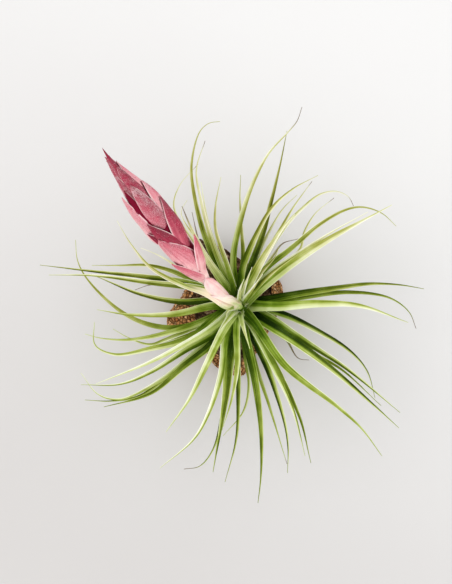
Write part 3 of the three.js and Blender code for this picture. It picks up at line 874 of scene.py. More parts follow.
def shell_faces(rows: int, columns: int) -> list[tuple[int, ...]]:
    """Join an outer and an inner grid of points into a closed thin shell that ends in one tip point.

    Args:
        rows: Rows of each grid, root first.
        columns: Points in each row, left to right as seen from outside.

    Returns:
        Corners of the faces. The outer grid's points come first, then the inner one's, then the tip.
    """
    inner = rows * columns
    tip = 2 * inner
    faces: list[tuple[int, ...]] = []
    for row in range(rows - 1):
        low, high = row * columns, (row + 1) * columns
        for k in range(columns - 1):
            faces.append((low + k, low + k + 1, high + k + 1, high + k))
            faces.append((inner + low + k, inner + high + k, inner + high + k + 1, inner + low + k + 1))
        right = columns - 1
        faces.append((inner + low, low, high, inner + high))
        faces.append((low + right, inner + low + right, inner + high + right, high + right))
    last = (rows - 1) * columns
    for k in range(columns - 1):
        faces.append((inner + k, inner + k + 1, k + 1, k))
        faces.append((last + k, last + k + 1, tip))
        faces.append((inner + last + k + 1, inner + last + k, tip))
    faces.append((inner + last, last, tip))
    faces.append((last + columns - 1, inner + last + columns - 1, tip))
    return faces


def sheltered(piece: Piece, reach: float, rays: int = 20) -> None:
    """Store on each point of a piece how much of its view the piece itself blocks nearby.

    Args:
        piece: The piece, whose points get the value crevice, from 0 in the open to 1 deep in a fold.
        reach: Distance past which nothing counts.
        rays: How many directions are looked in.
    """
    mesh = piece.data
    points = [vertex.co.copy() for vertex in mesh.vertices]
    solid = BVHTree.FromPolygons(points, [tuple(face.vertices) for face in mesh.polygons])
    turns = (np.arange(rays) * GOLDEN_TURN).tolist()
    rims = np.sqrt((np.arange(rays) + 0.5) / rays).tolist()
    fan = [
        Vector((rim * math.cos(turn), rim * math.sin(turn), math.sqrt(1 - rim * rim)))
        for rim, turn in zip(rims, turns, strict=True)
    ]
    # The rays start clear of the point's own faces
    clear = 0.08 * reach
    shelter = []
    for point, vertex in zip(points, mesh.vertices, strict=True):
        turn = vertex.normal.to_track_quat("Z", "Y")
        start = point + vertex.normal * clear
        hits = (solid.ray_cast(start, turn @ way, reach)[3] for way in fan)
        shelter.append(sum(1 - hit / reach for hit in hits if hit is not None) / rays)
    layer = mesh.attributes.new("crevice", "FLOAT", "POINT")
    layer.data.foreach_set("value", np.asarray(shelter, dtype=np.float32))


class GrowthTree(NodeSheet):
    """A geometry tree with named inputs, which ends in plain mesh with its material set."""

    def __init__(self, name: str) -> None:
        """Start a tree that takes and gives geometry.

        Args:
            name: Name of the tree.
        """
        super().__init__(bpy.data.node_groups.new(name, "GeometryNodeTree"))
        self.tree.interface.new_socket("Geometry", in_out="OUTPUT", socket_type="NodeSocketGeometry")
        self.tree.interface.new_socket("Geometry", in_out="INPUT", socket_type="NodeSocketGeometry")
        self.entry = self.add("NodeGroupInput")
        self.settings: dict[str, float | int] = {}

    def source(self) -> Socket:
        """Take the geometry that the tree is given."""
        return self.entry.outputs["Geometry"]

    def size(self, name: str, value: float | int) -> Socket:
        """Add a named input for a size or a seed.

        Args:
            name: Name of the input.
            value: The value that it is given.

        Returns:
            The output socket that brings it into the tree.
        """
        kind = "NodeSocketInt" if isinstance(value, int) else "NodeSocketFloat"
        socket = self.tree.interface.new_socket(name, in_out="INPUT", socket_type=kind)
        self.settings[socket.identifier] = value
        return self.entry.outputs[name]

    def named(self, name: str) -> Socket:
        """Read a point value by its name."""
        return self.out("GeometryNodeInputNamedAttribute", {"Name": name}, data_type="FLOAT")

    def keep(self, geometry: Feed, name: str, value: Feed) -> Socket:
        """Store a point value under a name.

        Args:
            geometry: What it is stored on.
            name: Its name.
            value: The number for each point.

        Returns:
            The geometry with the value.
        """
        inputs = {"Geometry": geometry, "Name": name, "Value": value}
        return self.out("GeometryNodeStoreNamedAttribute", inputs, data_type="FLOAT", domain="POINT")

    def draw(self, low: Feed, high: Feed, seed: Feed) -> Socket:
        """Draw an even random number or vector for each point.

        Args:
            low: The least number, or the least of each coordinate.
            high: The greatest.
            seed: The seed of the draws.

        Returns:
            The draw's socket.
        """
        if isinstance(low, tuple):
            inputs = {0: low, 1: high, "Seed": seed}
            return self.add("FunctionNodeRandomValue", inputs, data_type="FLOAT_VECTOR").outputs[0]
        inputs = {2: low, 3: high, "Seed": seed}
        return self.add("FunctionNodeRandomValue", inputs, data_type="FLOAT").outputs[1]

    def scatter(self, density: Feed, seed: Feed, chosen: Feed = True) -> bpy.types.Node:
        """Scatter points over the faces of the tree's source.

        Args:
            density: Points for each square metre.
            seed: The seed of the scatter.
            chosen: The faces that take points.

        Returns:
            The node, with its Points and Rotation outputs.
        """
        inputs = {"Mesh": self.source(), "Selection": chosen, "Density": density, "Seed": seed}
        return self.add("GeometryNodeDistributePointsOnFaces", inputs, distribute_method="RANDOM")

    def strew(self, points: Feed, pattern: Feed, turn: Feed, size: Feed) -> Socket:
        """Set a copy of a pattern on each point.

        Args:
            points: The points.
            pattern: The geometry that is copied.
            turn: Rotation of each copy.
            size: Scale of each copy.

        Returns:
            The socket of the copies.
        """
        inputs = {"Points": points, "Instance": pattern, "Rotation": turn, "Scale": size}
        return self.out("GeometryNodeInstanceOnPoints", inputs)

    def grow(self, host: Piece, geometry: Feed, material: Material) -> None:
        """End the tree, run it on an object and leave the result there as a plain mesh.

        Args:
            host: The object whose mesh feeds the tree.
            geometry: The last geometry socket.
            material: The finish of the result.
        """
        real = self.out("GeometryNodeRealizeInstances", {"Geometry": geometry})
        smooth = self.out("GeometryNodeSetShadeSmooth", {"Geometry": real})
        dressed = self.out("GeometryNodeSetMaterial", {"Geometry": smooth, "Material": material})
        self.add("NodeGroupOutput", {"Geometry": dressed})
        modifier = host.modifiers.new(self.tree.name, "NODES")
        modifier.node_group = self.tree
        for identifier, value in self.settings.items():
            modifier[identifier] = value
        graph = bpy.context.evaluated_depsgraph_get()
        grown = host.evaluated_get(graph)
        mesh = bpy.data.meshes.new_from_object(grown, preserve_all_data_layers=True, depsgraph=graph)
        host.modifiers.remove(modifier)
        mesh.name = host.name
        host.data = mesh


def twin(piece: Piece, name: str) -> Piece:
    """Copy a piece and its mesh, for a tree to grow fine parts from.

    Args:
        piece: The piece.
        name: Name of the copy.

    Returns:
        The copy.
    """
    copy = piece.copy()
    copy.data = piece.data.copy()
    copy.name = name
    bpy.context.scene.collection.objects.link(copy)
    return copy


def settle(piece: Piece, node: str) -> None:
    """Tie a finished piece to the plant, hide the solid that it stands for, and report it.

    Args:
        piece: The finished object.
        node: The solid that it stands for.
    """
    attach(piece, BODY)
    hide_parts(node)
    piece.data.calc_loop_triangles()
    LOG.info("%s: %d triangles", piece.name, len(piece.data.loop_triangles))


class Shade(Enum):
    """How light a leaf is, from the shaded old ones to the pale young ones."""

    DARK = 0.17
    OLIVE = 0.28
    GREEN = 0.36
    LIME = 0.47
    PALE = 0.6


@dataclass(frozen=True)
class Leaf:
    """One leaf as it is seen from the eye point.

    Attributes:
        rank: 0 for the lowest leaf and 1 for the topmost.
        width: Across the blade a quarter of the way along, in millimetres.
        shade: How light it is.
        plan: Points along it in millimetres, the last one its tip.
        dry: Share of it at the tip that is withered.
        lit: 1 where its right half, as seen from the root, is painted lighter as lit, and -1 the left; the
        other half is painted darker as shaded. At 0 its bearing decides.
    """

    rank: float
    width: float
    shade: Shade
    plan: Pairs
    dry: float = 0.0
    lit: float = 0.0


DARK, OLIVE, GREEN, LIME, PALE = Shade

# Leaves by sector, clockwise from the right
LEAVES = (
    Leaf(0.34, 3.6, DARK, ((20.5, 4.3), (43, 8), (65.5, 11), (80.5, 10.5), (92.5, 8.5))),
    Leaf(0.62, 4.6, LIME, ((20.5, -0.3), (40.5, 1), (60.5, 0), (84.5, -8.3)), lit=0.7),
    Leaf(0.2, 3, DARK, ((30.5, 4.5), (55.5, 7), (75.5, 4), (85, -3), (88.5, -11.3)), 0.1),
    Leaf(0.1, 3.2, DARK, ((20.5, -3.5), (40.5, -13), (55.5, -22.5), (64, -32.5), (68, -46)), lit=1),
    Leaf(0.02, 2.2, OLIVE, ((13, -9.5), (23, -16), (29.5, -26), (35, -27)), 0.6),
    Leaf(0.44, 3.4, OLIVE, ((13, -4.5), (33, -17.5), (55.5, -32.5), (80.5, -53.3)), lit=-0.8),
    Leaf(0.56, 4.2, DARK, ((11.5, -7.5), (30.5, -19.5), (50.5, -34.8), (80, -61)), lit=0.8),
    Leaf(0.26, 2.4, DARK, ((15, -11), (30.5, -20.5), (50.5, -31.3), (71, -49.8))),
    Leaf(0.7, 3.8, OLIVE, ((7.5, -8), (23, -29.5), (50.5, -51.3), (61.5, -61.5), (71.5, -75)), lit=-0.15),
    Leaf(0.36, 3.4, DARK, ((8, -12), (20.5, -34), (30.5, -56), (36, -78.5)), lit=-0.3),
    Leaf(0.6, 3.4, GREEN, ((5.5, -8), (18, -32), (27, -52), (33, -75)), lit=0.8),
    Leaf(0.46, 3.4, DARK, ((4, -9.5), (14.5, -32), (22.5, -57), (24.5, -70.5), (24.3, -83.5)), lit=-0.9),
    Leaf(0.14, 2.4, OLIVE, ((8.5, -29.5), (15.5, -51), (24, -79)), 0.05),
    Leaf(0.54, 4, DARK, ((3, -14.5), (8, -37), (11, -62), (11, -84.5), (9.5, -98.5))),
    Leaf(0.08, 2.6, GREEN, ((3.5, -27), (5, -39.5), (2, -53), (-8, -65)), lit=-0.5),
    Leaf(0.3, 3, DARK, ((-0.8, -22), (-0.3, -44.5), (-1.5, -67), (-7, -88)), lit=-0.6),
    Leaf(0.84, 3.2, GREEN, ((-1.3, -12), (-1, -29.5), (-3.5, -46), (-8, -60.5)), lit=-0.2),
    Leaf(0.48, 4.4, DARK, ((-5, -19.5), (-6.5, -39.5), (-9, -59.5), (-13, -83)), lit=0.5),
    Leaf(0.24, 3, DARK, ((-3.5, -27), (-5, -42), (-8.5, -62))),
    Leaf(0.66, 3.4, LIME, ((-6, -12), (-9, -34.5), (-17, -57.5), (-23.5, -67.5), (-39.5, -81)), lit=0.9),
    Leaf(0.12, 2.8, DARK, ((-5, -22), (-7.5, -47), (-12.5, -70.5), (-19.5, -80), (-27.5, -81.5)), 0.12),
    Leaf(0.9, 4, LIME, ((-7.5, -12), (-15.5, -28), (-24.5, -46), (-36.5, -63)), lit=0.5),
    Leaf(0.38, 3.8, DARK, ((-13.5, -18.5), (-27, -29.5), (-44.5, -43.8), (-67.5, -50.5)), lit=-0.3),
    Leaf(0.16, 3.2, DARK, ((-17, -20), (-32, -32), (-49.5, -44.8), (-64.5, -47.5), (-77, -47))),
    Leaf(0.28, 3, LIME, ((-19.5, -20.5), (-39.5, -37), (-59.5, -46.5), (-70.5, -44), (-79, -33.5)), lit=0.6),
    Leaf(0.52, 3.4, GREEN, ((-12, -13), (-27, -22), (-44.5, -33), (-59.5, -39), (-79, -39.3)), lit=0.9),
    Leaf(0.74, 3.2, PALE, ((-14.5, -11.5), (-29.5, -20.3), (-44.5, -28), (-71.5, -39)), lit=0.5),
    Leaf(0.32, 2.8, GREEN, ((-19.5, -9.5), (-37, -17), (-44.5, -19.3), (-55.5, -15.8), (-63, -11.5))),
    Leaf(0.22, 2.4, OLIVE, ((-22, -13), (-34.5, -17), (-44.5, -20))),
    Leaf(
        0.64, 3.6, GREEN,
        ((-8.5, -3.5), (-24.5, -16), (-44.5, -21.5), (-62, -24.3), (-72, -19.5), (-72.3, -8)), lit=-0.5,
    ),
    Leaf(0.42, 3.2, GREEN, ((-12, -5), (-32, -12.5), (-54.5, -16.8), (-69.5, -16), (-77, -14)), lit=-0.3),
    Leaf(0.06, 3, OLIVE, ((-14.5, -7), (-34.5, -11), (-54.5, -5.5), (-73.5, 10.5), (-80.5, 22), (-81.8, 33))),
    Leaf(0.58, 3.6, GREEN, ((-13, 0), (-32, -4), (-54.5, -4.3), (-71, -1.8)), lit=0.4),
    Leaf(0.4, 3.4, DARK, ((-14.5, 2.3), (-29.5, 2), (-49.5, 6), (-74, 16)), lit=0.7),
    Leaf(0.5, 3.2, GREEN, ((-17, 8), (-44.5, 11.8), (-73, 15.3), (-95, 15.5)), lit=0.7),
    Leaf(0.3, 3.2, DARK, ((-22, 10.5), (-44.5, 14.3), (-74.5, 17.5), (-99.5, 20.5)), lit=0.7),
    Leaf(0.02, 2, OLIVE, ((-20, 9), (-38, 10.8), (-45.5, 10.3), (-52, 8)), 0.5),
    Leaf(0.16, 3, OLIVE, ((-28.5, 15.5), (-44.5, 20.3), (-59.5, 20.3), (-73.5, 20.3))),
    Leaf(0.36, 2.2, PALE, ((-18, 12), (-27, 17), (-39.5, 25), (-49, 29))),
    Leaf(0.14, 1.7, LIME, ((-19.5, 28), (-32.5, 49.5), (-29.5, 60.5), (-20.5, 70.8)), 0.06),
    Leaf(0.24, 2.2, LIME, ((-19.5, 30.5), (-29, 46.5), (-26, 53)), lit=-0.6),
    Leaf(0.04, 2.2, OLIVE, ((-15, 22), (-19.5, 30.5), (-21.5, 38), (-23.5, 47)), 0.5),
    Leaf(0.42, 4.2, LIME, ((-8.5, 13), (-16, 24), (-24.5, 40.5), (-28.5, 50)), 0.25),
    Leaf(
        0.28, 3, OLIVE,
        ((-7, 13), (-16, 31.5), (-22, 53), (-23.8, 70.5), (-19.7, 87), (-15, 91.4), (-9.5, 92.3)), lit=-0.2,
    ),
    Leaf(0.48, 2.6, LIME, ((-13, 30.5), (-19, 53), (-21.3, 68), (-17, 82.5)), 0.06),
    Leaf(0.36, 2.4, LIME, ((-9, 22), (-15.5, 42), (-19, 62))),
    Leaf(0.56, 2.6, GREEN, ((-6, 20.5), (-11.5, 38), (-11.8, 49.5), (-9, 64.5))),
    Leaf(0.26, 2.6, OLIVE, ((2, 25.5), (1.3, 38), (0.5, 53), (0.8, 65.5))),
    Leaf(
        0.5, 3, LIME,
        ((-3, 22), (-0.5, 38), (5.5, 58), (14.5, 76), (24.5, 87), (29, 92.5), (31.5, 99.5)), 0.16, -0.6,
    ),
    Leaf(0.34, 3.1, DARK, ((5.5, 19), (12, 37), (16.5, 54), (20.5, 70.5), (24, 87.5)), lit=-0.3),
    Leaf(0.6, 3.2, GREEN, ((2, 19), (9.5, 37), (16.5, 49), (27, 58.5), (39.5, 65.3)), lit=0.6),
    Leaf(0.2, 2.4, LIME, ((8, 22), (15.5, 38), (22, 48.5), (29, 55.5))),
    Leaf(0.42, 2.6, GREEN, ((9.5, 19), (18.5, 34.5), (28, 50.5), (36.5, 62.3)), 0.05, 0.4),
    Leaf(0.86, 4.6, LIME, ((5.5, 11.5), (13.5, 26), (22, 39), (28, 46)), lit=0.5),
    Leaf(
        0.3, 2.8, LIME,
        ((9.5, 19), (22, 38.5), (30.5, 47.8), (40.5, 55.8), (48.5, 57.3), (54.8, 54.5), (57.3, 50)), 0.08,
    ),
    Leaf(0.1, 2.2, LIME, ((16, 15), (23, 20.5), (31, 29), (32.5, 36.5), (38, 46), (47.5, 54)), 0.06),
    Leaf(0.04, 2.4, GREEN, ((11.5, 17), (17.5, 26), (22, 31.3), (29.5, 33.5)), 0.5, -0.6),
    Leaf(
        0.38, 3, OLIVE,
        ((11.5, 17), (25.5, 28.5), (40.5, 41), (53, 48), (61.5, 49.5), (71.5, 46.3), (78.5, 40)), lit=-0.1,
    ),
    Leaf(0.54, 2.4, PALE, ((13, 14.5), (29, 26), (45.5, 36.5), (64.5, 47)), lit=-0.6),
    Leaf(0.68, 5.2, LIME, ((11.5, 9.5), (25.5, 20.5), (45.5, 33.5), (76.5, 50.5)), lit=0.45),
    Leaf(0.92, 2.6, DARK, ((13, 13.5), (21, 20), (29.5, 26))),
    Leaf(0.8, 2.4, LIME, ((2, -9.5), (5.5, -21.5))),
    Leaf(0.94, 2.2, LIME, ((-6.5, -8), (-11, -14))),
    Leaf(1, 2, PALE, ((3, 10.5), (6.5, 19.5))),
    Leaf(0.98, 2.2, PALE, ((7, 9), (12, 16)), lit=-1),
    Leaf(0.96, 2.0, LIME, ((-5.5, -2.5), (-6.5, -5))),
    Leaf(0.97, 2.0, PALE, ((0.5, 8), (2.5, 13.5)), lit=-0.5),
    Leaf(0.4, 2.4, OLIVE, ((11.5, 17), (18, 24.5), (20, 29.5))),
)


@dataclass
class LeafBlades:
    """Narrow channelled blades that Geometry Nodes sweep along their middle lines."""

    finish: Material
    outline: Pairs = ((0, 1.22), (0.2, 1.06), (0.4, 0.86), (0.6, 0.57), (0.8, 0.27), (0.9, 0.15), (1, 0.06))
    tip_width: float = 0.28 * MM
    row_step: float = 1.5 * MM
    least_rows: int = 8
    section_points: int = 14
    thickness_share: float = 0.15
    channel_share: float = 0.56
    channel_power: float = 1.5
    waver: float = 0.22 * MM
    waver_scale: float = 70.0
    # Tones along a blade, with painted shade at the roots of old leaves, and how leaves that point up in the
    # picture differ
    upper_bearings: Range = (-0.35, 0.75)
    middle_light: float = 0.055
    middle_span: Range = (0.2, 0.55)
    tip_light: float = 0.13
    low_light: float = 0.05
    low_span: Range = (0.65, 0.35)
    root_shade: float = 0.13
    low_root_shade: float = 0.06
    young: Range = (0.7, 0.9)
    young_root_shade: float = -0.12
    root_span: Range = (0.3, 0.02)
    # Painted light: unless a leaf gives its lit half, the half that faces the lamp is painted lighter
    painted_lit_side: float = 0.5
    painted_lit_bearing: float = math.radians(45)
    # Olive warmth along each blade is its own colour; the extra on leaves that point up is a painted glow of
    # light shining through them
    warmth: float = 0.45
    upper_painted_glow_warmth: float = 0.5
    warm_span: Range = (0.04, 0.6)
    least_rim: float = 0.15
    rim_play: float = 0.85
    rim_stride: float = 7.13
    crown_rank: float = 0.95
    crown_rim: float = 1.1
    dryness: float = 0.9
    dry_fade: float = 0.3

    def line(
        self, draft: Draft, leaf: Leaf, root: Array, heights: Array, roll: float, seed: float,
        sheath: float = 0.14, flare: float = 2.2 * MM, cream: Range | None = None,
    ) -> None:
        """Add the middle line of one leaf, with its widths and colouring.

        Args:
            draft: Where the line goes.
            leaf: The leaf.
            root: Plan point of its root in metres.
            heights: Its four control heights.
            roll: How far the blade is turned about its middle line.
            seed: A number from 0 to 1 that sets its stripes.
            sheath: Share of its length over which the root widens.
            flare: How much wider the root is.
            cream: Shares of the length between which cream turns into green, for a leafy bract.
        """
        plan = SmoothCurve(np.vstack((root, np.asarray(leaf.plan) * MM)))
        rows = max(self.least_rows, round(plan.length / self.row_step))
        along = np.linspace(0, 1, rows + 1)
        back = 1 - along
        height = (
            heights[0] * back**3
            + 3 * heights[1] * along * back**2
            + 3 * heights[2] * along**2 * back
            + heights[3] * along**3
        )
        blade = leaf.width * MM * np.interp(along, *zip(*self.outline, strict=True))
        width = np.maximum(self.tip_width, blade) + flare * np.maximum(0, 1 - along / sheath) ** 2

        bearing = math.atan2(leaf.plan[-1][1], leaf.plan[-1][0])
        upper = float(smooth_step(*self.upper_bearings, math.sin(bearing)))
        light = self.middle_light * smooth_step(*self.middle_span, along) + self.tip_light * along**2
        light = light + self.low_light * (1 - upper) * smooth_step(*self.low_span, along)
        # Painted shade at the roots of old leaves, deeper on those that point up; young leaves have a pale
        # root of their own
        old_shade = self.low_root_shade + (self.root_shade - self.low_root_shade) * upper
        root_shade = float(np.interp(leaf.rank, self.young, (old_shade, self.young_root_shade)))
        rim = self.least_rim + self.rim_play * (seed * self.rim_stride % 1)
        if leaf.rank > self.crown_rank:
            rim = self.crown_rim
        dry = np.zeros(rows + 1)
        if leaf.dry:
            dry = self.dryness * smooth_step(1 - leaf.dry, 1 - self.dry_fade * leaf.dry, along)
        draft.add(
            SIGHT.place(plan.at(along), height),
            edges=[(i, i + 1) for i in range(rows)],
            half_width=width / 2,
            roll=roll,
            walk=along * plan.length,
            tone=leaf.shade.value + light - root_shade * smooth_step(*self.root_span, along),
            light_side=leaf.lit or self.painted_lit_side * math.cos(bearing - self.painted_lit_bearing),
            warmth=(self.warmth + self.upper_painted_glow_warmth * upper) * smooth_step(*self.warm_span, along),
            rim=rim,
            dry=dry,
            cream=0.0 if cream is None else smooth_step(cream[1], cream[0], along),
            seed=seed,
        )

    def sweep(self, draft: Draft, name: str) -> Piece:
        """Sweep the channelled section along all lines of a draft.

        Args:
            draft: The middle lines.
            name: Name of the piece.

        Returns:
            The piece as a plain mesh.
        """
        host = draft.piece(name)
        tree = GrowthTree(f"{name}_growth")
        points = tree.size("Section points", self.section_points)
        thickness = tree.size("Thickness share", self.thickness_share)
        channel = tree.size("Channel share", self.channel_share)
        power = tree.size("Channel power", self.channel_power)
        waver = tree.size("Waver", self.waver)
        waver_scale = tree.size("Waver scale", self.waver_scale)

        ring = tree.out("GeometryNodeCurvePrimitiveCircle", {"Resolution": points, "Radius": 1.0})
        spot = tree.out("GeometryNodeInputPosition")
        side = tree.part(spot, "X")
        ring = tree.keep(ring, "across", side)
        fold = tree.product(tree.math("POWER", tree.math("ABSOLUTE", side), power), channel)
        lift = tree.math("SUBTRACT", tree.product(tree.part(spot, "Y"), thickness), fold)
        section = tree.out("GeometryNodeSetPosition", {"Geometry": ring, "Position": tree.vector(side, lift)})

        lines = tree.out("GeometryNodeMeshToCurve", {"Mesh": tree.source()})
        level = tree.out("GeometryNodeSetCurveNormal", {"Curve": lines}, mode="Z_UP")
        rolled = tree.out("GeometryNodeSetCurveTilt", {"Curve": level, "Tilt": tree.named("roll")})
        half_width = tree.named("half_width")
        sweep = {"Curve": rolled, "Profile Curve": section, "Scale": half_width, "Fill Caps": True}
        blades = tree.out("GeometryNodeCurveToMesh", sweep)

        grain = tree.add("ShaderNodeTexNoise", {"Scale": waver_scale, "Detail": 1.0}).outputs["Color"]
        shift = tree.out("ShaderNodeVectorMath", {0: grain, 1: (0.5, 0.5, 0.5)}, operation="SUBTRACT")
        sway = {"Geometry": blades, "Offset": tree.scaled(shift, waver)}
        swayed = tree.out("GeometryNodeSetPosition", sway)
        tree.grow(host, swayed, self.finish)
        return host


@dataclass
class LeafRosette:
    """The rosette of leaves on its short stem, with dry sheaths at the stem's foot."""

    blades: LeafBlades
    sheath_finish: Material
    stem_profile: Pairs = (
        (6 * MM, 16 * MM), (6 * MM, 22.5 * MM), (7.6 * MM, 25 * MM), (8 * MM, 29 * MM), (6.4 * MM, 35 * MM),
        (4.4 * MM, 42 * MM), (3.2 * MM, 47 * MM), (2.6 * MM, 49.5 * MM), (2 * MM, 50 * MM),
    )
    stem_sides: int = 28
    stem_dry: Range = (34 * MM, 26 * MM)
    # Control heights from root to tip of the lowest and the topmost leaf
    lowest: tuple[float, ...] = (26 * MM, 35 * MM, 37 * MM, 27 * MM)
    topmost: tuple[float, ...] = (46 * MM, 90 * MM, 98 * MM, 102 * MM)
    root_depth: float = 1.6 * MM
    roll: float = 0.22
    roll_seed: int = 7
    tiers: tuple[tuple[str, float, float], ...] = (
        ("outer_leaves", 0.0, 0.3),
        ("middle_leaves", 0.3, 0.52),
        ("inner_leaves", 0.52, 1.01),
    )
    crown_count: int = 5
    crown_width: float = 2.1
    crown_pale_every: int = 3
    crown_heights: tuple[float, ...] = (46.5 * MM, 50 * MM, 53 * MM, 55 * MM)
    crown_root: float = 2.0 * MM
    crown_tips: Range = (4.5, 6.5)
    crown_bend: float = 0.62
    crown_play: float = 0.6
    crown_flare: float = 1.6 * MM
    crown_sheath: float = 0.5
    crown_seed: int = 15
    stalk_bearing: float = math.radians(138)
    stalk_berth: float = math.radians(48)
    sheath_count: int = 46
    sheath_length: float = 9.5 * MM
    sheath_heights: Range = (17.5 * MM, 25 * MM)
    sheath_depth: float = 0.4 * MM
    sheath_turn: float = math.radians(137.5)
    sheath_leans: Range = (-0.5, 0.1)
    sheath_sizes: Range = (0.7, 1.2)
    sheath_seed: int = 11
    stub_rows: int = 6
    stub_columns: int = 5
    stub_half_width: float = 0.3
    stub_taper: float = 1.6
    stub_arch: float = 0.1
    stub_bend: float = 0.35
    stub_wall: float = 0.05
    stub_tip: tuple[float, float, float] = (0, 0.4, 1.0)
    node: str = "leaf_rosette"
    slot: str = "green_leaf"

    def stem_radius(self, height: Array | float) -> Array:
        """Read the stem's radius at heights."""
        radii, heights = zip(*self.stem_profile, strict=True)
        return np.interp(height, heights, radii)

    def build(self) -> None:
        """Build the leaves tier by tier, then the crown, the stem and its dry sheaths."""
        rolls = [(2 * draw - 1) * self.roll for draw in seeded_draws(self.roll_seed, len(LEAVES))]
        for name, low, high in self.tiers:
            draft = Draft()
            for number, leaf in enumerate(LEAVES):
                if low <= leaf.rank < high:
                    self._leaf_line(draft, leaf, rolls[number], number / len(LEAVES))
            settle(self.blades.sweep(draft, name), self.node)
        for piece in (self._crown(), self._stem(), self._sheaths()):
            settle(piece, self.node)

    def _leaf_line(self, draft: Draft, leaf: Leaf, roll: float, seed: float) -> None:
        """Add one leaf's middle line, its root sunk in the stem.

        Args:
            draft: Where the line goes.
            leaf: The leaf.
            roll: Turn of the blade about its middle line.
            seed: A number from 0 to 1 that sets its stripes.
        """
        heights = self.lowest + leaf.rank * (np.asarray(self.topmost) - self.lowest)
        first = np.asarray(leaf.plan[0])
        root = first / np.linalg.norm(first) * (self.stem_radius(heights[0]) - self.root_depth)
        self.blades.line(draft, leaf, root, heights, roll, seed)

    def _crown(self) -> Piece:
        """Stand short young leaves round the foot of the stalk, clear of the side that it leans to.

        Returns:
            The crown leaves as one piece.
        """
        draft = Draft()
        draws = seeded_draws(self.crown_seed, 2 * self.crown_count)
        room = FULL_TURN - 2 * self.stalk_berth
        for number in range(self.crown_count):
            spin, stretch = draws[2 * number : 2 * number + 2]
            share = (number + self.crown_play * spin) / self.crown_count
            bearing = self.stalk_bearing + self.stalk_berth + room * share
            way = np.array((math.cos(bearing), math.sin(bearing)))
            reach = self.crown_tips[0] + (self.crown_tips[1] - self.crown_tips[0]) * stretch
            shade = LIME if number % self.crown_pale_every else PALE
            plan = (tuple(self.crown_bend * reach * way), tuple(reach * way))
            leaf = Leaf(1, self.crown_width, shade, plan)
            self.blades.line(
                draft, leaf, way * self.crown_root, np.asarray(self.crown_heights), 0.0, share,
                flare=self.crown_flare, sheath=self.crown_sheath,
            )
        return self.blades.sweep(draft, "crown_leaves")

    def _stem(self) -> Piece:
        """Turn the stem's profile into a closed body.

        Returns:
            The stem core.
        """
        angles = FULL_TURN * np.arange(self.stem_sides) / self.stem_sides
        rings = [
            np.column_stack((radius * np.cos(angles), radius * np.sin(angles), np.full_like(angles, height)))
            for radius, height in self.stem_profile
        ]
        draft = Draft()
        skin = {"across": 0.3, "tone": 0.2, "seed": 0.6, "light_side": 0.0, "cream": 0.0}
        heights = np.repeat([height for _, height in self.stem_profile], self.stem_sides)
        dry = smooth_step(*self.stem_dry, heights)
        faces = ring_faces(len(rings), self.stem_sides)
        draft.add(np.concatenate(rings), faces, walk=heights, dry=dry, **skin)
        return draft.piece("stem_core", self.blades.finish)

    def _stub(self) -> Piece:
        """Make the withered leaf stub that is repeated, one unit long and standing along Z.

        Returns:
            The stub, which is taken away once the sheaths are grown.
        """
        shape = (self.stub_rows, self.stub_columns)
        along = np.linspace(0, 1, self.stub_rows, endpoint=False)[:, None]
        side = np.linspace(-1, 1, self.stub_columns)[None, :]
        half = self.stub_half_width * (1 - along**self.stub_taper)
        bulge = self.stub_arch * (1 - side**2) + self.stub_bend * along**2
        outer = np.stack((side * half, bulge, np.broadcast_to(along, shape)), axis=-1).reshape(-1, 3)
        inner = outer - np.array((0, self.stub_wall, 0))
        draft = Draft()
        faces = [tuple(reversed(face)) for face in shell_faces(*shape)]
        draft.add(np.concatenate((outer, inner, [self.stub_tip])), faces)
        return draft.piece("sheath_stub", self.sheath_finish)

    def _sheaths(self) -> Piece:
        """Set withered leaf stubs round the stem's foot with Geometry Nodes.

        Returns:
            The dry sheaths as one piece.
        """
        stub = self._stub()
        angles = np.arange(self.sheath_count) * self.sheath_turn
        heights = np.linspace(*self.sheath_heights, self.sheath_count)
        radius = self.stem_radius(heights) - self.sheath_depth
        draft = Draft()
        spots = np.column_stack((radius * np.cos(angles), radius * np.sin(angles), heights))
        draft.add(spots, turn=angles - math.pi / 2)
        host = draft.piece("dry_sheaths")
        tree = GrowthTree("dry_sheath_growth")
        length = tree.size("Sheath length", self.sheath_length)
        seed = tree.size("Seed", self.sheath_seed)
        pattern = tree.add("GeometryNodeObjectInfo", {"Object": stub}).outputs["Geometry"]
        points = tree.out("GeometryNodeMeshToPoints", {"Mesh": tree.source()})
        turn = tree.vector(tree.draw(*self.sheath_leans, seed), 0.0, tree.named("turn"))
        size = tree.product(length, tree.draw(*self.sheath_sizes, seed))
        tree.grow(host, tree.strew(points, pattern, turn, size), self.sheath_finish)
        bpy.data.objects.remove(stub)
        return host


@dataclass(frozen=True)
class SpikeBract:
    """One bract of the spike.

    Attributes:
        tip: Where its tip lies, as a share of the spike's length.
        around: Its middle in degrees about the spike from the upper side, right is positive.
        length: In millimetres.
        half_width: In millimetres.
        spread: How far its tip stands off, in millimetres.
        ripeness: 0 for cream and 1 for crimson.
        bloom: How scurfy it is.
        lean: How far its root lies to the right of its tip, in degrees about the spike.
    """

    tip: float
    around: float
    length: float
    half_width: float
    spread: float
    ripeness: float
    bloom: float = 0.35
    lean: float = 0.0


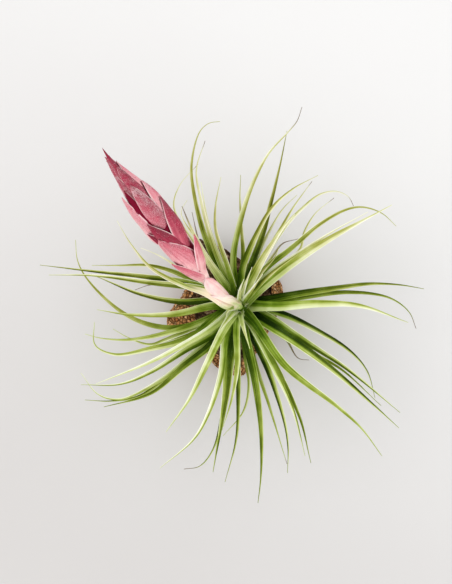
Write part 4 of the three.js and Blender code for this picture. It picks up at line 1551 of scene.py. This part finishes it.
# Ripeness here is partly painted light and shade: bracts that face right, away from the lamp, are set deeper
SPIKE_BRACTS = (
    SpikeBract(0.25, -60, 26, 7.2, 1.0, 0.54, 0.5),
    SpikeBract(0.3, 172, 27, 7, 0, 0.5),
    SpikeBract(0.31, 58, 27, 7.4, 2.6, 0.62, 0.2),
    SpikeBract(0.42, -40, 37, 10, 0.3, 0.57, 0.8, 36),
    SpikeBract(0.475, -58, 13, 3, 0.9, 0.88, 0.3),
    SpikeBract(0.47, 134, 33, 7, 0, 0.6),
    SpikeBract(0.53, -40, 34, 6.5, 0.3, 0.84, 0.3, 45),
    SpikeBract(0.6, 56, 40, 8, 0.4, 0.83, 0.4, -12),
    SpikeBract(0.6, -140, 35, 8, 0, 0.6, 0.7),
    SpikeBract(0.72, -72, 46, 9.2, 1.3, 0.5, 1.4, -34),
    SpikeBract(0.72, 70, 35, 8.6, 0.1, 0.64, 1.6),
    # Painted shade: this deep crimson bract without scurf stands for the shadowed crevice under the middle
    # bract
    SpikeBract(0.75, -50, 34, 4.6, 0.3, 1, 0),
    SpikeBract(0.77, -2, 38, 5.6, 2, 0.82, 1.5),
    SpikeBract(0.82, 180, 33, 6.5, 0, 0.7),
    SpikeBract(0.84, -60, 32, 4.8, 0.1, 0.78, 1.1),
    SpikeBract(0.88, 12, 31, 5, 0.9, 0.86, 0.8),
    SpikeBract(0.89, 90, 29, 4.6, 0.2, 0.62, 1.4),
    SpikeBract(0.92, -105, 28, 4.2, 0, 0.74, 0.8),
    SpikeBract(0.93, 140, 28, 4.2, 0, 0.8, 0.6),
    SpikeBract(0.95, -60, 24, 3.2, 0.1, 0.78, 0.9),
    SpikeBract(1, 10, 32, 3.2, 0, 0.84, 0.3),
)


class StalkLine:
    """The middle line of the flower stalk and spike, with points set about it."""

    FOOT = (0.0, 0.0, 43 * MM)
    # Plan points and their heights in millimetres
    ROUTE = (
        (0, 0, 49), (0, 0, 53), (-8.5, 5.5, 63), (-16, 12.5, 70), (-24.8, 23.3, 78.5), (-33, 33.3, 86),
        (-44, 47.8, 96.5), (-53, 58.8, 105), (-63.5, 71.5, 116), (-69, 79.5, 122),
    )
    # Level direction to the line's right
    SIDE = np.array((0.75, 0.66, 0.0)) / math.hypot(0.75, 0.66)

    def __init__(self) -> None:
        """Lay the curve through its foot and the seen points of its route."""
        route = np.asarray(self.ROUTE) * MM
        self.curve = SmoothCurve(np.vstack((self.FOOT, SIGHT.place(route[:, :2], route[:, 2]))))

    def around(self, share: Array, angle: Array, distance: Array) -> Array:
        """Find points about the line.

        Args:
            share: Share of the line's length.
            angle: Angle about it from its upper side, right is positive.
            distance: Distance from it.

        Returns:
            Points, one for each set of the three numbers.
        """
        share, angle, distance = np.broadcast_arrays(share, angle, distance)
        forward = self.curve.forward(share)
        up = np.cross(self.SIDE, forward)
        up /= np.linalg.norm(up, axis=-1, keepdims=True)
        right = np.cross(forward, up)
        way = up * np.cos(angle)[..., None] + right * np.sin(angle)[..., None]
        return self.curve.at(share) + distance[..., None] * way

    def tube(
        self, draft: Draft, shares: Array, radii: Array, sides: int, ripeness: Array, **values: float
    ) -> None:
        """Add a closed tube of plain bract skin about the line.

        Args:
            draft: Where it goes.
            shares: Place of each ring.
            radii: Radius of each ring.
            sides: Points in each ring.
            ripeness: Ripeness of each ring.
            **values: Its other point values by name.
        """
        angles = FULL_TURN * np.arange(sides) / sides
        rings = self.around(shares[:, None], angles[None, :], radii[:, None])
        skin = {"ripeness": np.repeat(ripeness, sides), "across": 0.0, "walk": 0.0, "outside": 1.0}
        draft.add(rings, ring_faces(len(shares), sides), **skin, **values)


@dataclass
class WrappedBract:
    """A thin pointed shell that wraps about the stalk line."""

    line: StalkLine
    rows: int = 34
    columns: int = 21
    thickness: float = 0.45 * MM
    edge_share: float = 0.3
    inner_least: float = 0.6
    keel: float = 0.35 * MM
    keel_width: float = 0.16
    keel_rise: Range = (0, 0.3)
    keel_end: float = 0.25
    tuck: float = 0.95 * MM
    ruffle: float = 0.3 * MM
    ruffle_scale: float = 160.0

    def add(
        self, draft: Draft, share: Array, middle: Array, out: Array, reach: Array, tip: Range, length: float,
        **values: Array | float,
    ) -> None:
        """Add one bract.

        Args:
            draft: Where it goes.
            share: Place of each row, as a share of the stalk line.
            middle: Angle of the middle of each row about the line.
            out: Distance of each row from the line.
            reach: Angle that each row reaches to each side.
            tip: Place and distance of its tip point.
            length: Length of the bract.
            **values: Point values, one for each row or one for all.
        """
        side = np.linspace(-1, 1, self.columns)
        along = np.arange(self.rows) / self.rows
        share = share[:, None]
        ridge = self.keel * np.exp(-((side / self.keel_width) ** 2)) - self.tuck * np.abs(side) ** 3
        fade = np.minimum(1, (1 - along) / self.keel_end) * smooth_step(*self.keel_rise, along)
        angle = middle[:, None] + reach[:, None] * side[None, :]
        smooth = out[:, None] + ridge[None, :] * fade[:, None]
        wave = np.array([
            [noise.noise(Vector(spot) * self.ruffle_scale) for spot in row]
            for row in self.line.around(share, angle, smooth)
        ])
        ruffled = smooth + wave * self.ruffle * np.abs(side)[None, :]
        wall = self.thickness * (1 - (1 - self.edge_share) * np.abs(side) ** 2)[None, :]
        outer = self.line.around(share, angle, ruffled)
        inner = self.line.around(share, angle, ruffled - np.minimum(wall, self.inner_least * ruffled))
        end = self.line.around(np.array([tip[0]]), middle[-1:], np.array([tip[1]]))
        skin_points = side.size * self.rows
        spread = {name: self._spread(np.broadcast_to(value, self.rows)) for name, value in values.items()}
        draft.add(
            np.concatenate((outer.reshape(-1, 3), inner.reshape(-1, 3), end)),
            shell_faces(self.rows, self.columns),
            across=np.concatenate((np.tile(side, 2 * self.rows), (0.0,))),
            outside=np.repeat((1.0, 0.0, 1.0), (skin_points, skin_points, 1)),
            walk=self._spread(along * length),
            **spread,
        )

    def _spread(self, rows: Array) -> Array:
        """Repeat one number for each row over the points of both skins and the tip.

        Args:
            rows: A number for each row.

        Returns:
            A number for each point.
        """
        each = np.repeat(rows, self.columns)
        return np.concatenate((each, each, rows[-1:]))


@dataclass(frozen=True)
class StalkBract:
    """One clasping bract of the stalk.

    Attributes:
        base: Where it starts, as a share of the stalk line.
        tip: Where it ends.
        around: Its middle in degrees about the stalk from the upper side, right is positive.
        reach: Degrees that it wraps to each side at its root.
        radius: How far its widest part lies from the stalk line, in millimetres.
        tuck: How far its side edges curl in, in millimetres.
        young: Ripeness at its root.
        ripe: Ripeness at its tip.
    """

    base: float
    tip: float
    around: float
    reach: float
    radius: float
    tuck: float
    young: float
    ripe: float


@dataclass
class FlowerStalk:
    """The stalk with its clasping bracts, the lowest of which runs out into a leaf."""

    line: StalkLine
    blades: LeafBlades
    finish: Material
    radius: float = 2.1 * MM
    foot_radius: float = 1.6 * MM
    end_radius: float = 1.3 * MM
    foot_span: Range = (0.06, 0.1)
    shoulder: float = 0.275
    start: float = 0.02
    end: float = 0.72
    rings: int = 40
    sides: int = 20
    foot_ripeness: float = -0.16
    ripening: float = 0.26
    ripe_span: Range = (0.08, 0.12)
    bow: Range = (0.1, 0.9)
    point: float = 3
    mouth: float = 0.75
    mouth_from: float = 0.5
    bracts: tuple[StalkBract, ...] = (
        StalkBract(0.098, 0.24, -74, 150, 5.1, 1.9, -0.06, 0.24),
        StalkBract(0.17, 0.315, 5, 130, 3.6, 0.3, 0.27, 0.42),
        StalkBract(0.17, 0.3, 190, 120, 3.3, 0.3, 0.28, 0.4),
    )
    bract_rows: int = 26
    bract_keel: float = 0.2 * MM
    bract_ruffle: float = 0.2 * MM
    bract_bloom: float = 0.25
    bract_seed: float = 0.2
    bract_seed_step: float = 0.3
    leafy_leaf: Leaf = Leaf(
        0.7, 2.6, LIME,
        ((-16.5, 6.6), (-29.5, 11), (-44.5, 19.5), (-54.5, 31.5), (-61, 42.5)), lit=-0.5,
    )
    leafy_root: Range = (-9 * MM, 3.3 * MM)
    leafy_heights: tuple[float, ...] = (64.5 * MM, 74 * MM, 81 * MM, 74 * MM)
    leafy_seed: float = 0.37
    leafy_sheath: float = 0.27
    leafy_flare: float = 3.5 * MM
    leafy_cream: Range = (0.06, 0.33)
    node: str = "flower_stalk"
    slot: str = "pale_bract"

    def build(self) -> None:
        """Build the stalk, its bracts and the leafy bract."""
        for piece in (self._stem(), self._bracts(), self._leafy_bract()):
            settle(piece, self.node)

    def _stem(self) -> Piece:
        """Draw the stalk's stem about its line, thin where it stands in the crown and in the spike.

        Returns:
            The stem.
        """
        draft = Draft()
        shares = np.linspace(self.start, self.end, self.rings)
        grown = self.foot_radius + (self.radius - self.foot_radius) * smooth_step(*self.foot_span, shares)
        radii = np.where(shares < self.shoulder, grown, self.end_radius)
        ripeness = self.foot_ripeness + self.ripening * smooth_step(*self.ripe_span, shares)
        self.line.tube(draft, shares, radii, self.sides, ripeness, seed=0.5, bloom=0.2)
        return draft.piece("stalk_stem", self.finish)

    def _bracts(self) -> Piece:
        """Wrap the clasping bracts about the stalk.

        Returns:
            The bracts as one piece.
        """
        draft = Draft()
        for number, bract in enumerate(self.bracts):
            shell = WrappedBract(
                self.line,
                rows=self.bract_rows,
                keel=self.bract_keel,
                tuck=bract.tuck * MM,
                ruffle=self.bract_ruffle,
            )
            along = np.arange(shell.rows) / shell.rows
            swell = np.sin(math.pi * (self.bow[0] + (self.bow[1] - self.bow[0]) * along))
            swell = np.where(along > self.mouth_from, np.maximum(swell, self.mouth), swell)
            room = bract.radius * MM - self.radius
            span = bract.tip - bract.base
            shell.add(
                draft,
                bract.base + span * along,
                np.full(shell.rows, math.radians(bract.around)),
                self.radius + room * swell,
                math.radians(bract.reach) * (1 - along**self.point),
                (bract.tip, self.radius + room * self.mouth),
                span * self.line.curve.length,
                seed=self.bract_seed + self.bract_seed_step * number,
                ripeness=bract.young + (bract.ripe - bract.young) * along,
                bloom=self.bract_bloom,
            )
        return draft.piece("stalk_bracts", self.finish)

    def _leafy_bract(self) -> Piece:
        """Sweep the lowest bract, cream at its root and a green leaf at its tip.

        Returns:
            The leafy bract.
        """
        draft = Draft()
        self.blades.line(
            draft, self.leafy_leaf, np.asarray(self.leafy_root), np.asarray(self.leafy_heights), 0.0,
            self.leafy_seed, self.leafy_sheath, self.leafy_flare, self.leafy_cream,
        )
        return self.blades.sweep(draft, "leafy_bract")


@dataclass
class FlowerSpike:
    """The spindle of overlapping bracts about the stalk's thin end, with a scurf of fine scales."""

    line: StalkLine
    finish: Material
    scurf_finish: Material
    start: float = 0.285
    # Radii in millimetres at even steps from root to tip
    radii: tuple[float, ...] = (2.4, 5.6, 7.2, 7.6, 8.4, 8, 7.4, 5.4, 3.1, 1.5, 0.5)
    outline_stretch: float = 10
    core_share: float = 0.8
    core_top: float = 0.93
    core_least: float = 1.5 * MM
    core_rings: int = 24
    core_sides: int = 24
    # The core turns deep crimson above its foot, partly its own colour and partly painted shade where it
    # shows between the bracts
    core_ripeness: float = 0.3
    core_ripening_and_shade: float = 0.65
    core_ripe_span: Range = (0.02, 0.25)
    lowest_root: float = -0.05
    rise: float = 0.403
    root_share: float = 0.53
    lap: float = 1.7 * MM
    lap_place: float = 0.6
    full_lap_radius: float = 5.5 * MM
    tip_lap: float = 0.5 * MM
    root_least: float = 2 * MM
    base_width: float = 0.62
    widening: float = 1.1
    point: float = 1.8
    least_radius: float = 1.5 * MM
    most_reach: float = 1.9
    ripening: float = 0.34
    ripening_place: float = 0.6
    bloom: float = 0.5
    bloom_rise: float = 0.8
    # How far the sheltering is measured, for the painted shade in the crevices
    crevice_reach: float = 4.5 * MM
    scurf_density: float = 1500000.0
    scurf_size: float = 0.3 * MM
    scurf_chances: Range = (0.15, 1.0)
    scurf_leans: tuple[tuple[float, ...], tuple[float, ...]] = ((0.5, -0.5, 0.0), (1.2, 0.5, FULL_TURN))
    scurf_seed: int = 5
    scale_sides: int = 4
    scale_radius: float = 0.32
    node: str = "flower_spike"
    slot: str = "pink_bract"

    def __post_init__(self) -> None:
        """Smooth the spike's outline, stretched for an even curve, and measure its length."""
        places = np.linspace(0, 1, len(self.radii))
        radii = np.asarray(self.radii) * self.outline_stretch * MM
        self.outline: SmoothCurve = SmoothCurve(np.column_stack((places, radii)))
        self.length: float = self.line.curve.length * (1 - self.start)

    def radius_at(self, share: Array | float) -> Array:
        """Read the spike's radius at shares of its own length."""
        places, radii = self.outline.samples.T
        return np.interp(share, places, radii) / self.outline_stretch

    def on_stalk(self, share: Array | float) -> Array:
        """Turn a share of the spike's length into a share of the stalk line's."""
        return self.start + (1 - self.start) * np.asarray(share)

    def build(self) -> None:
        """Build the core, the bracts and their scurf."""
        settle(self._core(), self.node)
        bracts = self._bracts()
        settle(bracts, self.node)
        settle(self._scurf(bracts), self.node)

    def _core(self) -> Piece:
        """Make the core that the bracts grow from.

        Returns:
            The core.
        """
        shares = np.linspace(0, self.core_top, self.core_rings)
        draft = Draft()
        radii = np.maximum(self.radius_at(shares) * self.core_share, self.core_least * (1 - shares**3))
        ripeness = self.core_ripeness + self.core_ripening_and_shade * smooth_step(*self.core_ripe_span, shares)
        self.line.tube(draft, self.on_stalk(shares), radii, self.core_sides, ripeness, seed=0.1, bloom=0.0)
        return draft.piece("spike_core", self.finish)

    def _bracts(self) -> Piece:
        """Wrap all bracts of the spike about its core, and measure how sheltered their points are.

        Returns:
            The bracts as one piece.
        """
        draft = Draft()
        shell = WrappedBract(self.line)
        along = np.arange(shell.rows) / shell.rows
        for number, bract in enumerate(SPIKE_BRACTS):
            base = max(self.lowest_root, bract.tip - bract.length * MM / self.length)
            share = base + (bract.tip - base) * along
            radius = self.radius_at(share)
            lap = self.lap * np.minimum(1, radius / self.full_lap_radius)
            proud = radius + lap * (along - self.lap_place) + bract.spread * MM * along**2
            root = np.maximum(radius * self.root_share, self.root_least * (1 - share))
            out = root + (proud - root) * smooth_step(0, self.rise, along)
            half = bract.half_width * MM * (self.base_width + self.widening * along) * (1 - along**self.point)
            tip_out = float(self.radius_at(bract.tip)) + self.tip_lap + bract.spread * MM
            shell.add(
                draft,
                self.on_stalk(share),
                np.radians(bract.around + bract.lean * (1 - along)),
                out,
                np.minimum(half / np.maximum(out, self.least_radius), self.most_reach),
                (float(self.on_stalk(bract.tip)), tip_out),
                bract.length * MM,
                seed=number / len(SPIKE_BRACTS),
                ripeness=bract.ripeness + self.ripening * (along - self.ripening_place),
                bloom=bract.bloom * (self.bloom + self.bloom_rise * along),
            )
        bracts = draft.piece("spike_bracts", self.finish)
        # How sheltered each point is drives painted shade in the bracts' crevices
        sheltered(bracts, self.crevice_reach)
        return bracts

    def _scurf(self, bracts: Piece) -> Piece:
        """Scatter fine pale scales over the bracts with Geometry Nodes.

        Args:
            bracts: The finished bracts.

        Returns:
            The scales as one piece.
        """
        host = twin(bracts, "spike_scurf")
        tree = GrowthTree("spike_scurf_growth")
        density = tree.size("Scales for each square metre", self.scurf_density)
        size = tree.size("Scale size", self.scurf_size)
        seed = tree.size("Seed", self.scurf_seed)
        spread = tree.scatter(density, seed)
        bloom = tree.product(tree.named("bloom"), tree.named("outside"))
        odds = {0: bloom, 1: tree.draw(*self.scurf_chances, seed)}
        bare = tree.out("FunctionNodeCompare", odds, data_type="FLOAT", operation="LESS_THAN")
        thinning = {"Geometry": spread.outputs["Points"], "Selection": bare}
        kept = tree.out("GeometryNodeDeleteGeometry", thinning)
        cone = {"Vertices": self.scale_sides, "Radius Bottom": self.scale_radius, "Depth": 1.0}
        scale = tree.add("GeometryNodeMeshCone", cone).outputs["Mesh"]
        leans = {0: spread.outputs["Rotation"], 1: tree.draw(*self.scurf_leans, seed)}
        turned = tree.out("FunctionNodeRotateRotation", leans, rotation_space="LOCAL")
        tree.grow(host, tree.strew(kept, scale, turned, size), self.scurf_finish)
        return host


@dataclass
class CorkBark:
    """The piece of cork bark: dark and furrowed on top and at the far edge, with tan granular sides."""

    finish: Material
    height: float = 20 * MM
    points_round: int = 260
    side_rows: int = 34
    top_rows: int = 44
    top_from: float = 0.93
    chip: float = 0.9 * MM
    chip_scale: float = 210.0
    chip_layers: tuple[float, float, int] = (0.8, 2.1, 4)
    crumb: float = 0.4 * MM
    crumb_scale: float = 900.0
    furrow: float = 1.4 * MM
    furrow_x: float = 160.0
    furrow_y: float = 300.0
    wander: float = 1.5
    wander_scale: float = 60.0
    wander_layers: tuple[float, float, int] = (1.0, 2.0, 3)
    crack_scale: float = 130.0
    crack_layers: tuple[float, float, int] = (0.9, 2.2, 4)
    crack_stretch: float = 1.6
    crack_width: float = 3
    valley_share: float = 0.75
    crack_share: float = 0.5
    ridge_top: float = 0.3
    ridge_drop: float = 0.5
    foot_share: float = 12
    outline: Pairs = (
        (-20.4, 34.5), (-16, 32.3), (-8.5, 30), (-3, 26.6), (5.5, 21.5), (22, 12), (22.5, 3), (16.2, -12.5),
        (10.5, -22), (3.1, -36), (-0.5, -37), (-10.5, -32.4), (-17.2, -24.5), (-24.5, -14.5), (-37, -10),
        (-36, -3.7), (-27.7, 7.3), (-22.5, 21.4),
    )
    # Height and reach of the rings from the foot over the edge to the middle of the top, as shares
    rings: Pairs = (
        (0, 0.97), (0.14, 1), (0.45, 0.98), (0.76, 1), (0.93, 0.96), (1, 0.84), (0.97, 0.6), (0.96, 0.34),
        (0.97, 0.12), (1, 0.01),
    )
    bark_from: Range = (0.9, 0.74)
    bare_corner: Range = (-33 * MM, -9.5 * MM)
    bare_reach: Range = (8 * MM, 15 * MM)
    back_bark: Range = (14 * MM, 20 * MM)
    granule_density: float = 260000.0
    granule_size: float = 0.75 * MM
    granule_shapes: tuple[tuple[float, ...], tuple[float, ...]] = ((0.5, 0.6, 0.4), (1.6, 1.3, 1.2))
    granule_seed: int = 3
    granule_slope: float = 0.8
    granule_lowest: float = 1.3 * MM
    granule_barkness: float = 0.6
    node: str = "cork_bark"
    slot: str = "cork_bark"

    def build(self) -> None:
        """Build the block and the granules on its sides."""
        block = self._block()
        settle(block, self.node)
        settle(self._granules(block), self.node)

    def _block(self) -> Piece:
        """Raise the outline ring by ring and roughen it.

        Returns:
            The block.
        """
        outline = SmoothCurve(np.asarray(self.outline[::-1]) * MM, closed=True)
        edge = outline.at(np.arange(self.points_round) / self.points_round)
        middle = edge.mean(axis=0)
        side_end = next(i for i, (height, _) in enumerate(self.rings) if height >= self.top_from)
        places = np.concatenate((
            np.linspace(0, side_end, self.side_rows, endpoint=False),
            np.linspace(side_end, len(self.rings) - 1, self.top_rows),
        ))
        numbers = np.arange(len(self.rings))
        heights, reaches = (np.interp(places, numbers, column) for column in zip(*self.rings, strict=True))
        skin = []
        for height, reach, place in zip(heights, reaches, places, strict=True):
            for spot in edge:
                smooth = Vector((*(middle + (spot - middle) * reach), height * self.height))
                skin.append(self._rough(smooth, middle, place >= side_end, height))
        points, ridges = (np.asarray(column) for column in zip(*skin, strict=True))
        bark = np.repeat(np.where(places >= side_end, smooth_step(*self.bark_from, reaches), 0.0), len(edge))
        off_corner = np.linalg.norm(points[:, :2] - self.bare_corner, axis=1)
        bark = bark * smooth_step(*self.bare_reach, off_corner)
        bark = np.maximum(bark, smooth_step(*self.back_bark, points[:, 1]))
        draft = Draft()
        draft.add(points, ring_faces(len(places), len(edge)), barkness=bark, ridge=ridges)
        return draft.piece("bark_block", self.finish)

    def _rough(
        self, point: Vector, middle: Array, on_top: bool, height: float
    ) -> tuple[tuple[float, ...], float]:
        """Roughen one point of the skin.

        Args:
            point: The smooth point.
            middle: Middle of the outline.
            on_top: Whether it belongs to the bark on top.
            height: Its height as a share of the whole.

        Returns:
            The rough point, and how high it stands between the furrows, from about -0.33 to 0.3.
        """
        outwards = Vector((point.x - middle[0], point.y - middle[1], 0)).normalized()
        crumb = self.crumb * noise.noise(point * self.crumb_scale)
        if not on_top:
            chip = self.chip * noise.fractal(point * self.chip_scale, *self.chip_layers)
            moved = point + outwards * (chip + crumb)
            moved.z = max(0.0, moved.z + crumb * min(1.0, height * self.foot_share))
            return tuple(moved), 0.0
        wander = self.wander * noise.fractal(point * self.wander_scale, *self.wander_layers)
        valley = abs(math.sin(self.furrow_x * point.x + self.furrow_y * point.y + wander))
        stretched = Vector((point.x * self.crack_stretch, point.y, 0)) * self.crack_scale
        crack = 1 - min(1.0, self.crack_width * abs(noise.fractal(stretched, *self.crack_layers)))
        depth = self.valley_share * valley + self.crack_share * crack
        moved = point + outwards * crumb
        moved.z += crumb - self.furrow * depth
        return tuple(moved), self.ridge_top - self.ridge_drop * depth

    def _granules(self, block: Piece) -> Piece:
        """Scatter loose cork granules over the cut sides with Geometry Nodes.

        Args:
            block: The finished block.

        Returns:
            The granules as one piece.
        """
        host = twin(block, "bark_granules")
        tree = GrowthTree("bark_granule_growth")
        density = tree.size("Granules for each square metre", self.granule_density)
        size = tree.size("Granule size", self.granule_size)
        seed = tree.size("Seed", self.granule_seed)
        slope = tree.math("ABSOLUTE", tree.part(tree.out("GeometryNodeInputNormal"), "Z"))
        height = tree.part(tree.out("GeometryNodeInputPosition"), "Z")
        cut = tree.product(
            tree.math("LESS_THAN", tree.named("barkness"), self.granule_barkness),
            tree.math("LESS_THAN", slope, self.granule_slope),
            tree.math("GREATER_THAN", height, self.granule_lowest),
        )
        points = tree.scatter(density, seed, cut).outputs["Points"]
        grain = tree.add("GeometryNodeMeshIcoSphere", {"Radius": 0.5, "Subdivisions": 1}).outputs["Mesh"]
        turn = tree.draw((0, 0, 0), (FULL_TURN, FULL_TURN, FULL_TURN), seed)
        shape = tree.scaled(tree.draw(*self.granule_shapes, seed), size)
        tree.grow(host, tree.strew(points, grain, turn, shape), self.finish)
        return host


@dataclass(frozen=True)
class Lamp:
    """A round soft light that looks at the middle of the plant."""

    name: str
    place: tuple[float, float, float]
    size: float
    power: float
    tint: tuple[float, float, float]
    aim: tuple[float, float, float] = (0, 0, 50 * MM)

    def build(self) -> None:
        """Hang the lamp in the scene."""
        light = bpy.data.lights.new(self.name, "AREA")
        light.shape = "DISK"
        light.size = self.size
        light.energy = self.power
        light.color = self.tint
        holder = bpy.data.objects.new(self.name, light)
        holder.location = self.place
        holder.rotation_euler = (Vector(self.aim) - Vector(self.place)).to_track_quat("-Z", "Y").to_euler()
        bpy.context.scene.collection.objects.link(holder)


@dataclass
class Studio:
    """A pale paper floor, a wide soft light from the left, a broader one from overhead and an even sky."""

    floor_side: float = 12.0
    lamps: tuple[Lamp, ...] = (
        Lamp("window_lamp", (-1.6, 0.35, 1.5), 1.6, 9.0, (1.0, 0.985, 0.96)),
        Lamp("fill_lamp", (0.3, 0.4, 2.2), 2.6, 7.0, (0.97, 0.985, 1.0)),
    )
    sky: tuple[float, float, float, float] = (1.0, 0.992, 0.985, 1.0)
    sky_strength: float = 0.94

    def build(self) -> None:
        """Build the floor, the lights and the camera."""
        half = self.floor_side / 2
        draft = Draft()
        corners = [(-half, -half, 0), (half, -half, 0), (half, half, 0), (-half, half, 0)]
        draft.add(np.asarray(corners), [(0, 1, 2, 3)])
        draft.piece("studio_floor", FloorFinish().material())
        for lamp in self.lamps:
            lamp.build()
        world = bpy.data.worlds.new("even_sky")
        world.use_nodes = True
        back = world.node_tree.nodes["Background"]
        back.inputs["Color"].default_value = self.sky
        back.inputs["Strength"].default_value = self.sky_strength
        scene = bpy.context.scene
        scene.world = world
        scene.camera = SIGHT.camera()
        scene.view_settings.view_transform = "Standard"
        scene.view_settings.look = "Medium High Contrast"


def main() -> None:
    """Build the studio and the plant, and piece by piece."""
    logging.basicConfig(level=logging.INFO, format="%(name)s: %(message)s")
    Studio().build()
    blades = LeafBlades(LeafFinish().material())
    line = StalkLine()
    CorkBark(BarkFinish().material()).build()
    LeafRosette(blades, DryFinish().material()).build()
    FlowerStalk(line, blades, BractFinish("pale_bract_skin").material()).build()
    FlowerSpike(line, BractFinish("pink_bract_skin").material(), ScurfFinish().material()).build()


if __name__ == "__main__":
    main()
